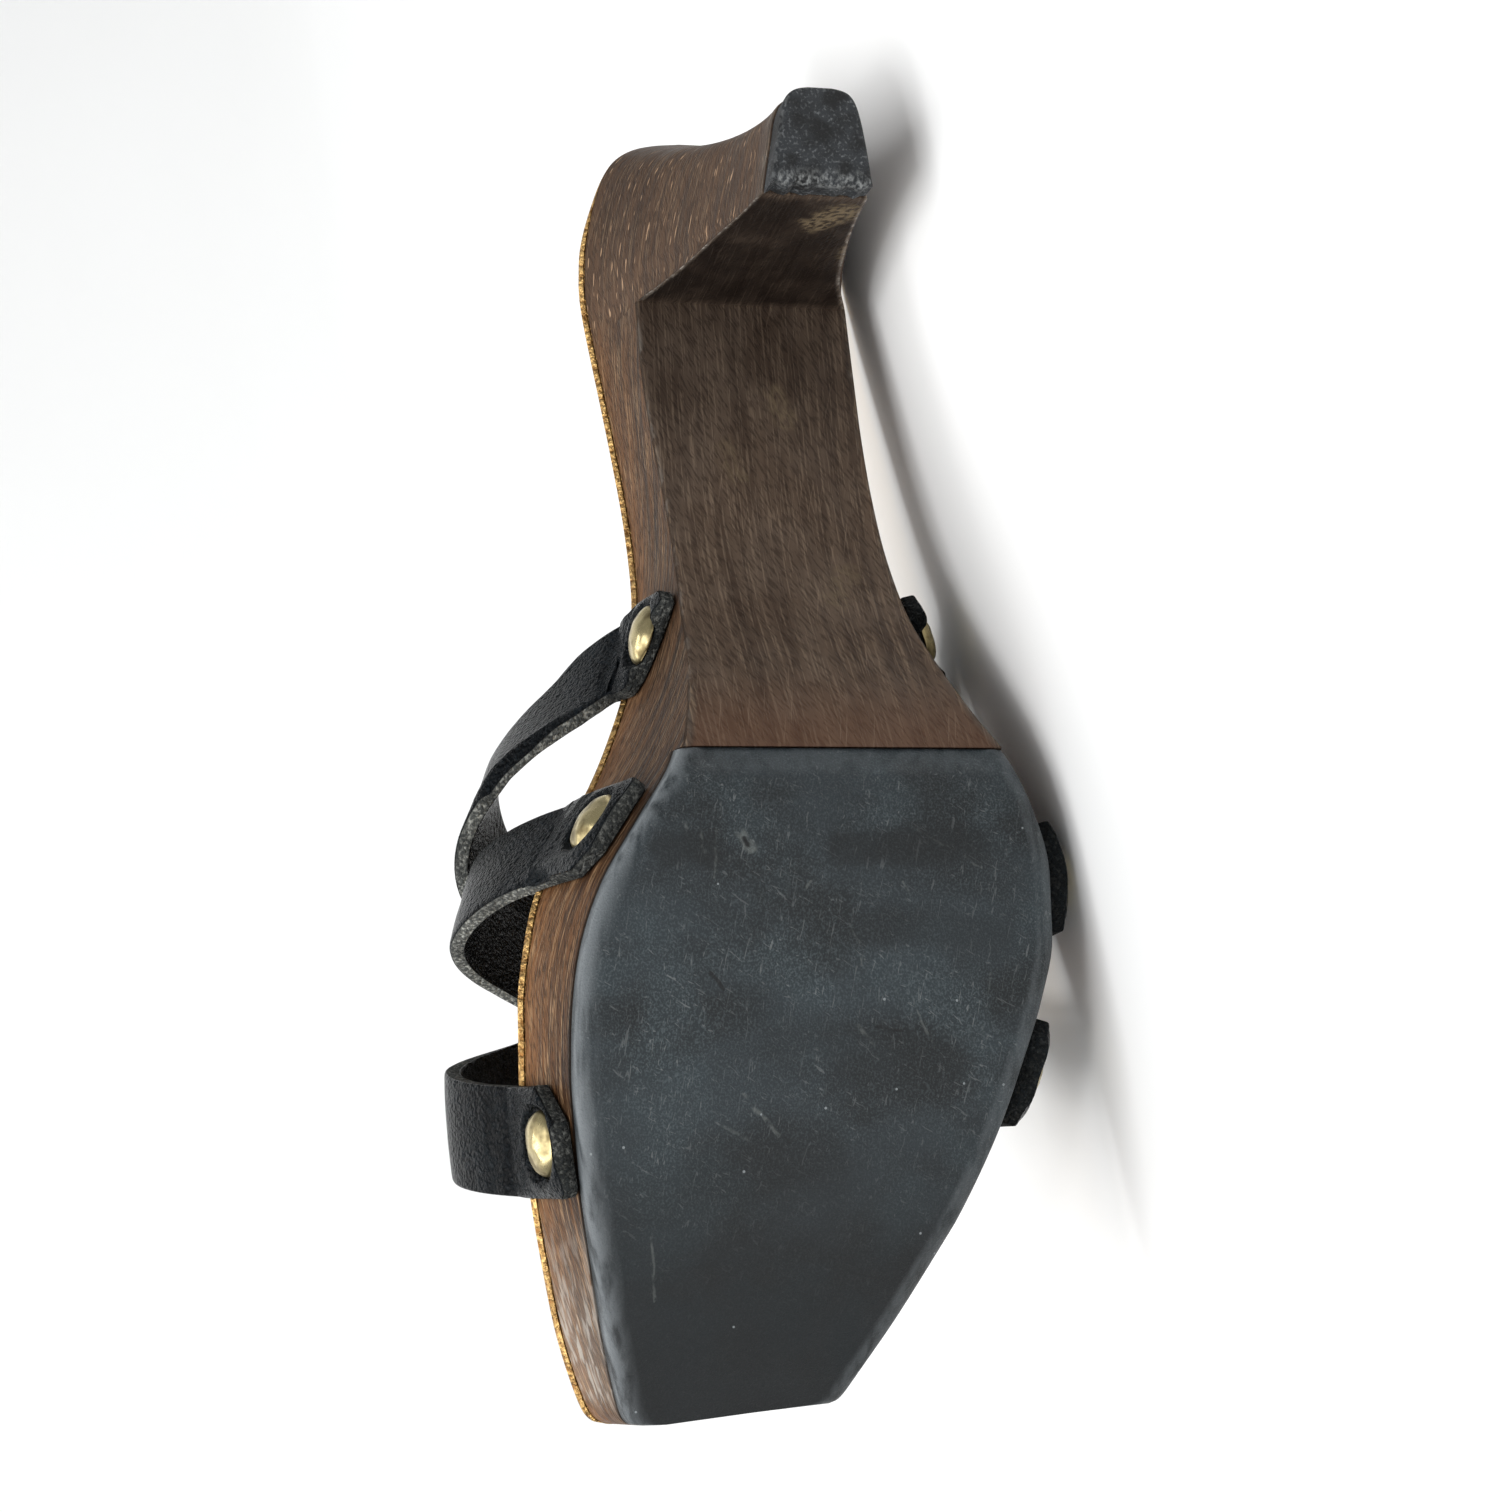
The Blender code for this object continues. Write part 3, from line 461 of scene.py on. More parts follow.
def stained_alder():
    """Alder, carved and sanded, with a dark stain: streaks and curl along the grain, rubbed edges, warm rims."""
    material, tree = new_material("dark_stained_alder")
    wall, rim_glow, wear, shade_and_seam, glue, heel = [
        add(tree, "ShaderNodeAttribute", {"attribute_name": name}, {}).outputs["Fac"]
        for name in ("wall", "rim_glow", "wear", "shade_and_seam", "glue", "heel")]
    streaks = cloud(tree, (44.0, 2.2, 1.0), 0.30, 0.70, on="grain", detail=3.0, bend=0.4)
    threads = cloud(tree, (10.0, 0.45, 1.0), 0.52, 0.64, on="grain", shift=(15.0, 6.0, 2.0), detail=2.0, bend=0.3)
    curl = cloud(tree, (2.5, 0.48, 1.0), 0.48, 0.64, on="grain", shift=(1.0, 3.0, 2.0), turn=(0.0, 0.0, -0.45),
                 detail=2.0, bend=0.3)
    patches = cloud(tree, (17.0, 10.0, 10.0), 0.36, 0.66, shift=(11.0, 4.0, 0.0), detail=3.0)
    scratches = cloud(tree, (22.0, 0.5, 1.0), 0.66, 0.71, on="grain", shift=(21.0, 0.0, 8.0), turn=(0.0, 0.0, 0.25),
                      detail=2.0)
    under = laid_over(tree, "#40332a", "#57483c", streaks)
    under = laid_over(tree, under, "#74665a", patches, 0.22)
    under = laid_over(tree, under, "#917d6a", threads, 0.28)
    under = laid_over(tree, under, "#1b120d", curl, 0.46)
    under = laid_over(tree, under, "#5c3c29", glue, 0.42)
    sides = laid_over(tree, "#28180e", "#644328", streaks)
    sides = laid_over(tree, sides, "#8f613b", rim_glow, 0.48)
    sides = laid_over(tree, sides, "#b3936f", threads, 0.52)
    sides = laid_over(tree, sides, "#170c06", curl, 0.64)
    sides = laid_over(tree, sides, "#46382f", heel, 0.62)
    colour = laid_over(tree, under, sides, wall)
    colour = laid_over(tree, colour, "#a08a76", scratches, 0.18)
    flecks = cloud(tree, (4.0, 0.75, 1.0), 0.672, 0.715, on="grain", shift=(5.0, 2.0, 13.0), detail=1.0)
    colour = laid_over(tree, colour, "#a5876b", flecks, heel)
    # Painted shade: the breast face, the shank next to it and the waist wall are darkened here; the thin dark line at
    # the rubber's seam is the joint's own colour
    shade_strength = add(tree, "ShaderNodeMapRange", {}, {"Value": patches, "To Min": 0.95, "To Max": 0.75}).outputs["Result"]
    colour = laid_over(tree, colour, "#110c0a", shade_and_seam, shade_strength)
    rubbed = cloud(tree, (10.0, 1.7, 1.7), 0.46, 0.62, shift=(2.0, 17.0, 3.0), bend=0.6)
    rubbed = add(tree, "ShaderNodeMapRange", {}, {"Value": rubbed, "To Min": 0.22}).outputs["Result"]
    colour = laid_over(tree, colour, "#bab3a9", wear, rubbed)
    fibres = cloud(tree, (3.0, 1.4, 0.7), 0.36, 0.58, shift=(6.0, 6.0, 6.0), turn=(0.7, 0.0, 0.0), detail=3.0)
    colour = laid_over(tree, colour, "#74654f", marks(tree, RUBBED_WOOD, 4.0), fibres)
    dull = add(tree, "ShaderNodeMapRange", {}, {"Value": streaks, "To Min": 0.46, "To Max": 0.60}).outputs["Result"]
    height = add(tree, "ShaderNodeMath", {"operation": "SUBTRACT"}, {0: threads, 1: curl}).outputs[0]
    return surfaced(material, {"Base Color": colour, "Roughness": dull, "Specular IOR Level": 0.10}, height, 0.06)


def scuffed_rubber():
    """Moulded sheet rubber, walked on: charcoal, dull, with rubbed edges under a painted highlight on the medial edge,
    placed scuffs, grit and dust.
    """
    material, tree = new_material("scuffed_black_rubber")
    rub_and_sheen, walked, fresh = [add(tree, "ShaderNodeAttribute", {"attribute_name": name}, {}).outputs["Fac"]
                          for name in ("rub_and_sheen", "walked", "fresh")]
    patches = cloud(tree, (15.0, 26.0, 26.0), 0.36, 0.64)
    rubbed = cloud(tree, (16.0, 16.0, 16.0), 0.46, 0.66, shift=(31.0, 3.0, 0.0))
    # Grit is drawn coarser than it is, because it would not show
    grit = cloud(tree, (0.36, 0.32, 0.32), 0.42, 0.72, detail=3.0)
    hairs = cloud(tree, (5.0, 0.6, 0.6), 0.645, 0.70, shift=(8.0, 60.0, 0.0), turn=(0.0, 0.0, 0.2),
                  detail=2.0, bend=1.4)
    stray = cloud(tree, (0.6, 3.0, 0.6), 0.655, 0.71, shift=(48.0, 20.0, 0.0), turn=(0.0, 0.0, 0.6),
                  detail=2.0, bend=1.6)
    colour = laid_over(tree, "#111517", "#22292d", patches)
    colour = laid_over(tree, colour, "#2e373b", rubbed, 0.5)
    worn = add(tree, "ShaderNodeMapRange", {}, {"Value": rubbed, "To Min": 0.30, "To Max": 0.60}).outputs["Result"]
    worn = add(tree, "ShaderNodeMath", {"operation": "MULTIPLY"}, {0: worn, 1: walked}).outputs[0]
    colour = laid_over(tree, colour, "#525a5d", grit, worn)
    thin = add(tree, "ShaderNodeMath", {"operation": "MAXIMUM"}, {0: hairs, 1: stray}).outputs[0]
    thin = add(tree, "ShaderNodeMath", {"operation": "MULTIPLY"}, {0: thin, 1: worn}).outputs[0]
    colour = laid_over(tree, colour, "#7b7e7e", thin, 0.75)
    colour = laid_over(tree, colour, "#0a0c0d", fresh)
    pale = marks(tree, PALE_SCUFFS, 1.4)
    broken = cloud(tree, (1.2, 1.2, 1.2), 0.32, 0.60, shift=(5.0, 0.0, 0.0))
    broken = add(tree, "ShaderNodeMath", {"operation": "MULTIPLY"}, {0: broken, 1: 0.55}).outputs[0]
    colour = laid_over(tree, colour, "#7b7f7b", pale, broken)
    colour = laid_over(tree, colour, "#0c0e0f", marks(tree, SMUDGES, 4.0))
    nicks = marks(tree, NICKS, 1.0)
    colour = laid_over(tree, colour, "#08090a", nicks)
    # The pale edge band is partly rubbed wear and partly a painted highlight, strongest over the medial edge's rounding
    chafed = cloud(tree, (15.0, 2.0, 2.0), 0.26, 0.62, shift=(1.0, 1.0, 4.0), detail=5.0)
    colour = laid_over(tree, colour, "#767b7e", rub_and_sheen, chafed)
    cells = add(tree, "ShaderNodeTexVoronoi", {}, {"Vector": pattern_place(tree, (4.5, 4.5, 4.5)), "Scale": 1.0})
    near = add(tree, "ShaderNodeMath", {"operation": "LESS_THAN"}, {0: cells.outputs["Distance"], 1: 0.05}).outputs[0]
    lot = add(tree, "ShaderNodeSeparateXYZ", {}, {0: cells.outputs["Color"]}).outputs["X"]
    some = add(tree, "ShaderNodeMath", {"operation": "GREATER_THAN"}, {0: lot, 1: 0.5}).outputs[0]
    colour = laid_over(tree, colour, "#777c7e", near, some)
    dull = add(tree, "ShaderNodeMapRange", {}, {"Value": rubbed, "To Min": 0.50, "To Max": 0.64}).outputs["Result"]
    height = add(tree, "ShaderNodeMath", {"operation": "SUBTRACT"}, {0: grit, 1: nicks}).outputs[0]
    return surfaced(material, {"Base Color": colour, "Roughness": dull, "Specular IOR Level": 0.3}, height, 0.07)


def worn_lift_rubber():
    """Hard top-lift rubber, ground down: grainy black with pale crumbs, a paler torn front edge and a painted highlight
    along the lower medial edge.
    """
    material, tree = new_material("worn_top_lift_rubber")
    rub_and_sheen = add(tree, "ShaderNodeAttribute", {"attribute_name": "rub_and_sheen"}, {}).outputs["Fac"]
    crumbs = cloud(tree, (0.55, 0.55, 0.55), 0.50, 0.68, detail=5.0)
    patches = cloud(tree, (5.0, 5.0, 5.0), 0.38, 0.62, shift=(3.0, 1.0, 0.0), detail=6.0)
    colour = laid_over(tree, "#0a0b0c", "#25282b", patches)
    ground = add(tree, "ShaderNodeMapRange", {}, {"Value": patches, "To Min": 0.12, "To Max": 0.6}).outputs["Result"]
    colour = laid_over(tree, colour, "#7b7e80", crumbs, ground)
    # Paler torn front edge, and a painted highlight along the lower edge, stronger on the medial side
    torn = cloud(tree, (1.1, 0.7, 0.9), 0.42, 0.66, shift=(9.0, 0.0, 0.0), detail=6.0)
    torn = add(tree, "ShaderNodeMath", {"operation": "MULTIPLY"}, {0: torn, 1: 0.6}).outputs[0]
    colour = laid_over(tree, colour, "#8f9190", rub_and_sheen, torn)
    height = add(tree, "ShaderNodeMath", {"operation": "ADD"}, {0: crumbs, 1: patches}).outputs[0]
    return surfaced(material, {"Base Color": colour, "Roughness": 0.62, "Specular IOR Level": 0.35}, height, 0.22)


def black_leather():
    """Finished cowhide cut into straps: black, fine grain, glints painted on its wrinkles, a pressed line by each raw,
    fibrous grey edge.
    """
    material, tree = new_material("black_strap_leather")
    strap = add(tree, "ShaderNodeAttribute", {"attribute_name": "strap"}, {}).outputs["Vector"]
    spot = add(tree, "ShaderNodeSeparateXYZ", {}, {0: strap}).outputs
    undyed = add(tree, "ShaderNodeAttribute", {"attribute_name": "undyed"}, {}).outputs["Fac"]
    # The hide's grain is drawn coarser than it is, because it would not show
    grain = add(tree, "ShaderNodeTexVoronoi", {},
                {"Vector": pattern_place(tree, (0.75, 0.75, 0.75)), "Scale": 1.0}).outputs["Distance"]
    wrinkles_and_glints = cloud(tree, (0.9, 0.7, 2.4), 0.40, 0.70, shift=(4.0, 4.0, 1.0), detail=3.0, bend=0.8)
    patches = cloud(tree, (9.0, 9.0, 9.0), 0.35, 0.7, detail=3.0)
    colour = laid_over(tree, "#030405", "#090d10", patches)
    # Painted highlight: a light bluish colour on the wrinkles stands in for glints
    colour = laid_over(tree, colour, "#323d45", wrinkles_and_glints, 0.12)
    inner = add(tree, "ShaderNodeMath", {"operation": "LESS_THAN"}, {0: spot["Z"], 1: -0.5}).outputs[0]
    colour = laid_over(tree, colour, "#0b0a08", inner)
    face = add(tree, "ShaderNodeMath", {"operation": "ABSOLUTE"}, {0: spot["Z"]}).outputs[0]
    edge = add(tree, "ShaderNodeMapRange", {"interpolation_type": "SMOOTHSTEP"},
               {"Value": face, "From Min": 0.75, "From Max": 0.35}).outputs["Result"]
    fibre = cloud(tree, (0.65, 0.65, 0.65), 0.40, 0.68, shift=(1.0, 6.0, 2.0), detail=5.0)
    raw = laid_over(tree, "#565856", "#b9bab3", fibre)
    scraped = cloud(tree, (6.0, 6.0, 6.0), 0.34, 0.60, shift=(13.0, 2.0, 7.0))
    scraped = add(tree, "ShaderNodeMapRange", {}, {"Value": scraped, "To Min": 0.55}).outputs["Result"]
    faded = add(tree, "ShaderNodeMapRange", {}, {"Value": undyed, "To Min": 0.06}).outputs["Result"]
    bare = add(tree, "ShaderNodeMath", {"operation": "MULTIPLY"}, {0: scraped, 1: faded}).outputs[0]
    colour = laid_over(tree, colour, raw, edge, bare)
    dull = add(tree, "ShaderNodeMapRange", {}, {"Value": edge, "To Min": 0.23, "To Max": 0.85}).outputs["Result"]
    aside = add(tree, "ShaderNodeMath", {"operation": "ABSOLUTE"}, {0: spot["Y"]}).outputs[0]
    lengthwise = add(tree, "ShaderNodeMath", {"operation": "COMPARE"},
                     {0: aside, 1: STRAP_WIDTH / 2 - PRESSED_LINE_IN, 2: PRESSED_LINE_HALF}).outputs[0]
    crosswise = add(tree, "ShaderNodeMath", {"operation": "COMPARE"},
                    {0: spot["X"], 1: PRESSED_LINE_END, 2: PRESSED_LINE_HALF}).outputs[0]
    groove = add(tree, "ShaderNodeMath", {"operation": "MAXIMUM"}, {0: lengthwise, 1: crosswise}).outputs[0]
    height = add(tree, "ShaderNodeMath", {"operation": "ADD"}, {0: grain, 1: wrinkles_and_glints}).outputs[0]
    height = add(tree, "ShaderNodeMath", {"operation": "MULTIPLY_ADD"}, {0: groove, 1: -1.6, 2: height}).outputs[0]
    torn = add(tree, "ShaderNodeMath", {"operation": "MULTIPLY"}, {0: edge, 1: fibre}).outputs[0]
    height = add(tree, "ShaderNodeMath", {"operation": "MULTIPLY_ADD"}, {0: torn, 1: -2.0, 2: height}).outputs[0]
    return surfaced(material, {"Base Color": colour, "Roughness": dull, "Specular IOR Level": 0.075}, height, 0.24)


def gold_foil():
    """Leather covered with gold foil: metallic and warm, finely crackled, rubbed to brown in spots."""
    material, tree = new_material("gold_foil_leather")
    rim = add(tree, "ShaderNodeAttribute", {"attribute_name": "rim"}, {}).outputs["Fac"]
    crackle = add(tree, "ShaderNodeTexVoronoi", {"feature": "DISTANCE_TO_EDGE"},
                  {"Vector": pattern_place(tree, (1.3, 1.3, 1.3)), "Scale": 1.0}).outputs["Distance"]
    cracks = add(tree, "ShaderNodeMapRange", {}, {"Value": crackle, "From Max": 0.12, "To Max": 0.12}).outputs["Result"]
    beads = cloud(tree, (1.0, 1.0, 1.0), 0.3, 0.7, detail=3.0)
    grain = cloud(tree, (1.6, 1.2, 1.2), 0.3, 0.7, shift=(5.0, 0.0, 0.0))
    calm = add(tree, "ShaderNodeMapRange", {}, {"Value": grain, "To Min": 0.66, "To Max": 0.80}).outputs["Result"]
    ripple = add(tree, "ShaderNodeMix", {}, {"Factor": rim, "A": calm, "B": beads}).outputs[0]
    rubbed = cloud(tree, (26.0, 18.0, 18.0), 0.50, 0.72, detail=5.0)
    colour = laid_over(tree, "#845d31", "#e6be7b", ripple)
    colour = laid_over(tree, colour, "#76522f", rubbed, 0.22)
    foil = add(tree, "ShaderNodeMapRange", {}, {"Value": rubbed, "To Min": 0.9, "To Max": 0.35}).outputs["Result"]
    dull = add(tree, "ShaderNodeMapRange", {}, {"Value": ripple, "To Min": 0.30, "To Max": 0.42}).outputs["Result"]
    height = add(tree, "ShaderNodeMath", {"operation": "ADD"}, {0: cracks, 1: ripple}).outputs[0]
    return surfaced(material, {"Base Color": colour, "Metallic": foil, "Roughness": dull}, height, 0.30)


def antique_brass():
    """Pressed brass, aged: warm and glossy on the dome, brown tarnish in patches and at the rim."""
    material, tree = new_material("antique_brass")
    rim = add(tree, "ShaderNodeAttribute", {"attribute_name": "rim"}, {}).outputs["Fac"]
    place = add(tree, "ShaderNodeTexCoord", {}, {}).outputs["Object"]
    spots = add(tree, "ShaderNodeTexNoise", {},
                {"Vector": place, "Scale": 1 / (3.2 * MM), "Detail": 5.0}).outputs["Fac"]
    fine = add(tree, "ShaderNodeTexNoise", {},
               {"Vector": place, "Scale": 1 / (0.8 * MM), "Detail": 3.0}).outputs["Fac"]
    tarnish = add(tree, "ShaderNodeMapRange", {"interpolation_type": "SMOOTHSTEP"},
                  {"Value": spots, "From Min": 0.42, "From Max": 0.68, "To Max": 0.8}).outputs["Result"]
    low = add(tree, "ShaderNodeMath", {"operation": "MULTIPLY"}, {0: rim, 1: 0.6}).outputs[0]
    dark = add(tree, "ShaderNodeMath", {"operation": "MAXIMUM"}, {0: tarnish, 1: low}).outputs[0]
    colour = laid_over(tree, "#cfbf90", "#5a4a2c", dark)
    dull = add(tree, "ShaderNodeMapRange", {}, {"Value": dark, "To Min": 0.26, "To Max": 0.5}).outputs["Result"]
    return surfaced(material, {"Base Color": colour, "Metallic": 1.0, "Roughness": dull}, fine, 0.025)


def pale_floor():
    """Matt white studio paper with a faint unevenness."""
    material, tree = new_material("pale_studio_paper")
    place = add(tree, "ShaderNodeTexCoord", {}, {}).outputs["Object"]
    uneven = add(tree, "ShaderNodeTexNoise", {}, {"Vector": place, "Scale": 3.0, "Detail": 2.0}).outputs["Fac"]
    colour = laid_over(tree, "#f6f6f5", "#fbfbfa", uneven)
    return surfaced(material, {"Base Color": colour, "Roughness": 0.9, "Specular IOR Level": 0.2}, uneven, 0.1)


# Pieces

def eased_corner(before, corner, after, size):
    """Three points that round a corner off by a size in mm."""
    corner = np.array(corner)
    back = np.array(before) - corner
    on = np.array(after) - corner
    back *= min(size / np.linalg.norm(back), 0.5)
    on *= min(size / np.linalg.norm(on), 0.5)
    return [tuple(corner + back), tuple(corner + 0.29 * (back + on)), tuple(corner + on)]


def wood_loop(rib, low_share, edge):
    """Closed loop of the wooden sole at one rib, with its values for the stain: wall, wear and drop."""
    shares = np.linspace(0.0, low_share, DOWN + 1)
    lateral = [wall_point(rib, -1, s) for s in shares]
    medial = [wall_point(rib, 1, s) for s in shares]
    top = footbed_row(rib, 0.0, ACROSS)
    bottom = across(lateral[-1], medial[-1], ACROSS)
    low_lateral = eased_corner(lateral[-2], lateral[-1], bottom[1], edge)
    low_medial = eased_corner(bottom[-2], medial[-1], medial[-2], edge)
    loop = top + lateral[1:-1] + low_lateral + bottom[1:-1] + low_medial + medial[-2:0:-1]
    side = DOWN - 1
    wall = [1.0] * (ACROSS + 1 + side) + [1.0, 0.6, 0.2] + [0.0] * (ACROSS - 1) + [0.2, 0.6, 1.0] + [1.0] * side
    corner = [0.06, 0.22, 0.06] if rib.x_low > RIDGE_X else [0.22, 0.68, 0.22]
    wear = [0.0] * (ACROSS + 1 + side) + corner + [0.0] * (ACROSS - 1) + corner + [0.0] * side
    drop = [0.0] * (ACROSS + 1) + list(shares[1:-1]) + [low_share] * (ACROSS + 5) + list(shares[-2:0:-1])
    return loop, wall, wear, drop


def rubber_share(rib):
    return 1.0 - (RUBBER_THICK + GAP) / (rib.z_top - rib.z_low)


def end_cells(size, top, side):
    """Cells that close a loop of size points: a row of top cells, one side, a bottom row and the other side."""
    cells = [(*range(top + 2), size - 1)]
    cells += [(top + i, top + i + 1, size - i - 1, size - i) for i in range(1, side - 1)]
    return cells + [tuple(range(top + side - 1, size - side + 2))]


def wooden_base(material):
    fore = [r for r in FOREPART if r.x_top > RUBBER_REAR_X + 0.5]
    behind = [r for r in FOREPART if r.x_top < RUBBER_REAR_X - 0.8]
    step = at_x(RUBBER_REAR_X)
    rows = [wood_loop(r, rubber_share(r), SEAM_EDGE) for r in fore]
    rows.append(wood_loop(step, rubber_share(step), SEAM_EDGE))
    rows.append(wood_loop(at_x(RUBBER_REAR_X - GAP), 1.0, SEAM_EDGE))
    rows += [wood_loop(r, 1.0, WOOD_EDGE) for r in behind + BREAST + BACKPART]
    loops = [row[0] for row in rows]
    cells = end_cells(len(loops[0]), ACROSS, DOWN + 1)
    points, faces = skin(loops, cells, cells)
    seam = np.array([0.9 * (v > 0.0) * (k <= len(fore)) for k, row in enumerate(rows) for v in row[2]])
    wall = np.array([v for row in rows for v in row[1]])
    wear = np.array([v for row in rows for v in row[2]])
    drop = np.array([v for row in rows for v in row[3]])
    # Masks for the stain and for the painted shade, by places on the upright shoe in mm
    x, y, z = np.array(points).T
    breast = (wall < 0.9) * (x < RIDGE_X)
    grain = np.column_stack((x + breast * (RIDGE_Z - z), np.where(wall > 0.9, z, y), np.zeros(len(x))))
    rim_glow = wall * (1.0 - ease(drop, 0.0, 0.62)) * ease(x, 26.0, 43.0)
    toe_rub = ease(x, 198.0, 224.0) * (1.0 - 0.8 * ease(x, 231.0, 234.0)) * (y > 20.0) * wall
    wear = np.maximum(wear * ease(x, 190.0, 60.0), (0.82 - 0.4 * drop) * toe_rub)
    under = (z < RIDGE_Z + 1.0) * (wall < 0.9)
    # Painted shade on the shank next to the breast, on the breast face and on the waist wall, then the dark line along
    # the rubber's seam
    shade_and_seam = 0.45 * under * ease(x, 84.0, 50.0)
    shade_and_seam = np.maximum(shade_and_seam, 0.92 * (wall < 0.1) * breast * ease(z, 5.0, 9.0))
    shade_and_seam = np.maximum(shade_and_seam, 0.4 * wall * ease(drop, 0.0, 0.5) * ease(x, 70.0, 100.0) * ease(x, 148.0, 132.0))
    shade_and_seam = np.maximum(shade_and_seam, seam)
    glue = (wall < 0.1) * ease(x, 112.0, 127.0) * (x < 129.5)
    heel = wall * ease(x, 50.0, 37.0)
    tone = 0.7 + 0.3 * ease(x, 126.0, 165.0)
    return new_piece("wooden_base_carved", points, faces, material, ["wooden_base"],
                     {"grain": grain, "wall": wall * tone, "rim_glow": rim_glow, "wear": wear, "shade_and_seam": shade_and_seam,
                      "glue": glue, "heel": heel})


def insole(material):
    """Thin cover of the footbed with a rounded rim."""
    loops = []
    turns = np.radians((60.0, 25.0, -10.0, -45.0, -75.0))
    for rib in ALL_RIBS:
        low = np.array(footbed_row(rib, GAP, ACROSS))
        high = np.array(footbed_row(rib, GAP + INSOLE_THICK, ACROSS))
        rims = []
        for i, side in ((-1, -1), (0, 1)):
            middle = (low[i] + high[i]) / 2
            proud = RIM_PROUD[side] * float(ease(rib.x_top, 6.0, 26.0))
            rims.append([middle + np.array((0.0, side * proud * math.cos(a), INSOLE_THICK / 2 * math.sin(a) - 0.25))
                         for a in turns])
        loops.append([tuple(p) for p in (*high, *rims[0], *low[::-1], *rims[1][::-1])])
    side = len(turns) + 1
    cells = end_cells(len(loops[0]), ACROSS, side)
    points, faces = skin(loops, cells, cells)
    inside = [0.0] * (ACROSS - 1)
    rim = [1.0] + inside + [1.0] * (side + 1) + inside + [1.0] * side
    return new_piece("insole_gold", points, faces, material, ["insole"], {"rim": rim * len(loops)})


def forefoot_outsole(material):
    """Rubber sheet under the forefoot with a rounded tread edge and a thinned rear end."""
    fore = [r for r in FOREPART if r.x_top > RUBBER_REAR_X + 0.5]
    loops, rub_and_sheen = [], []
    turns = np.radians(np.linspace(0.0, 90.0, 6))
    for rib in fore + [at_x(RUBBER_REAR_X)]:
        height = rib.z_top - rib.z_low
        upper = 1.0 - RUBBER_THICK / height
        lower = 1.0 - TREAD_EDGE_UP / height
        skive = SKIVE_DEPTH * max(0.0, 1.0 - (rib.x_top - RUBBER_REAR_X) / SKIVE_LENGTH)
        sides = {}
        for side in (1, -1):
            foot = np.array(wall_point(rib, side, 1.0))
            shoulder = np.array(wall_point(rib, side, lower))
            inward = min(TREAD_EDGE_IN, 0.2 * (rib.medial_low - rib.lateral_low))
            inner = foot - np.array((0.0, side * inward, 0.0))
            centre = inner + shoulder - foot
            arc = [centre + (shoulder - centre) * math.cos(a) + (inner - centre) * math.sin(a) for a in turns]
            sides[side] = [np.array(wall_point(rib, side, upper))] + arc
        top = across(sides[1][0], sides[-1][0], ACROSS)
        bottom = across(sides[-1][-1], sides[1][-1], ACROSS)
        worn = [(x, y, z + skive) for x, y, z in bottom]
        loop = top + [tuple(p) for p in sides[-1][1:-1]] + worn + [tuple(p) for p in sides[1][-2:0:-1]]
        loops.append(loop)
        edge = len(turns) - 1
        # Pale edge values: a painted highlight rising over the medial edge's rounding, weaker on the lateral edge and
        # on the bevelled rear band, with some rubbed wear
        band = 0.12 * (skive > 0.1 * SKIVE_DEPTH)
        rub_and_sheen += [0.1] * (ACROSS + 1) + [0.2] * edge + [band] * (ACROSS + 1) + list(np.linspace(0.12, 1.0, edge))
    cells = end_cells(len(loops[0]), ACROSS, len(turns))
    points, faces = skin(loops, cells, cells)
    points = np.array(points)
    x, y, z = points.T
    tread = np.array([0.0] * (ACROSS + 1) + [0.0] * (len(turns) - 1) + [1.0] * (ACROSS + 1) + [0.0] * (len(turns) - 1))
    tread = np.tile(tread, len(loops))
    hollow = 0.25 * np.exp(-((x - 172.0) / 30.0) ** 2 - ((y - 6.0) / 22.0) ** 2)
    ripple = 0.06 * np.sin(x * 0.33 + 0.8 * np.sin(y * 0.21)) * np.sin(y * 0.27 + 1.3)
    points[:, 2] += tread * (hollow + ripple)
    fresh = 0.8 * ease(x, 180.0, 226.0)
    return new_piece("forefoot_outsole_worn", points, faces, material, ["forefoot_outsole"],
                     {"rub_and_sheen": rub_and_sheen, "walked": 1.0 - fresh, "fresh": fresh})


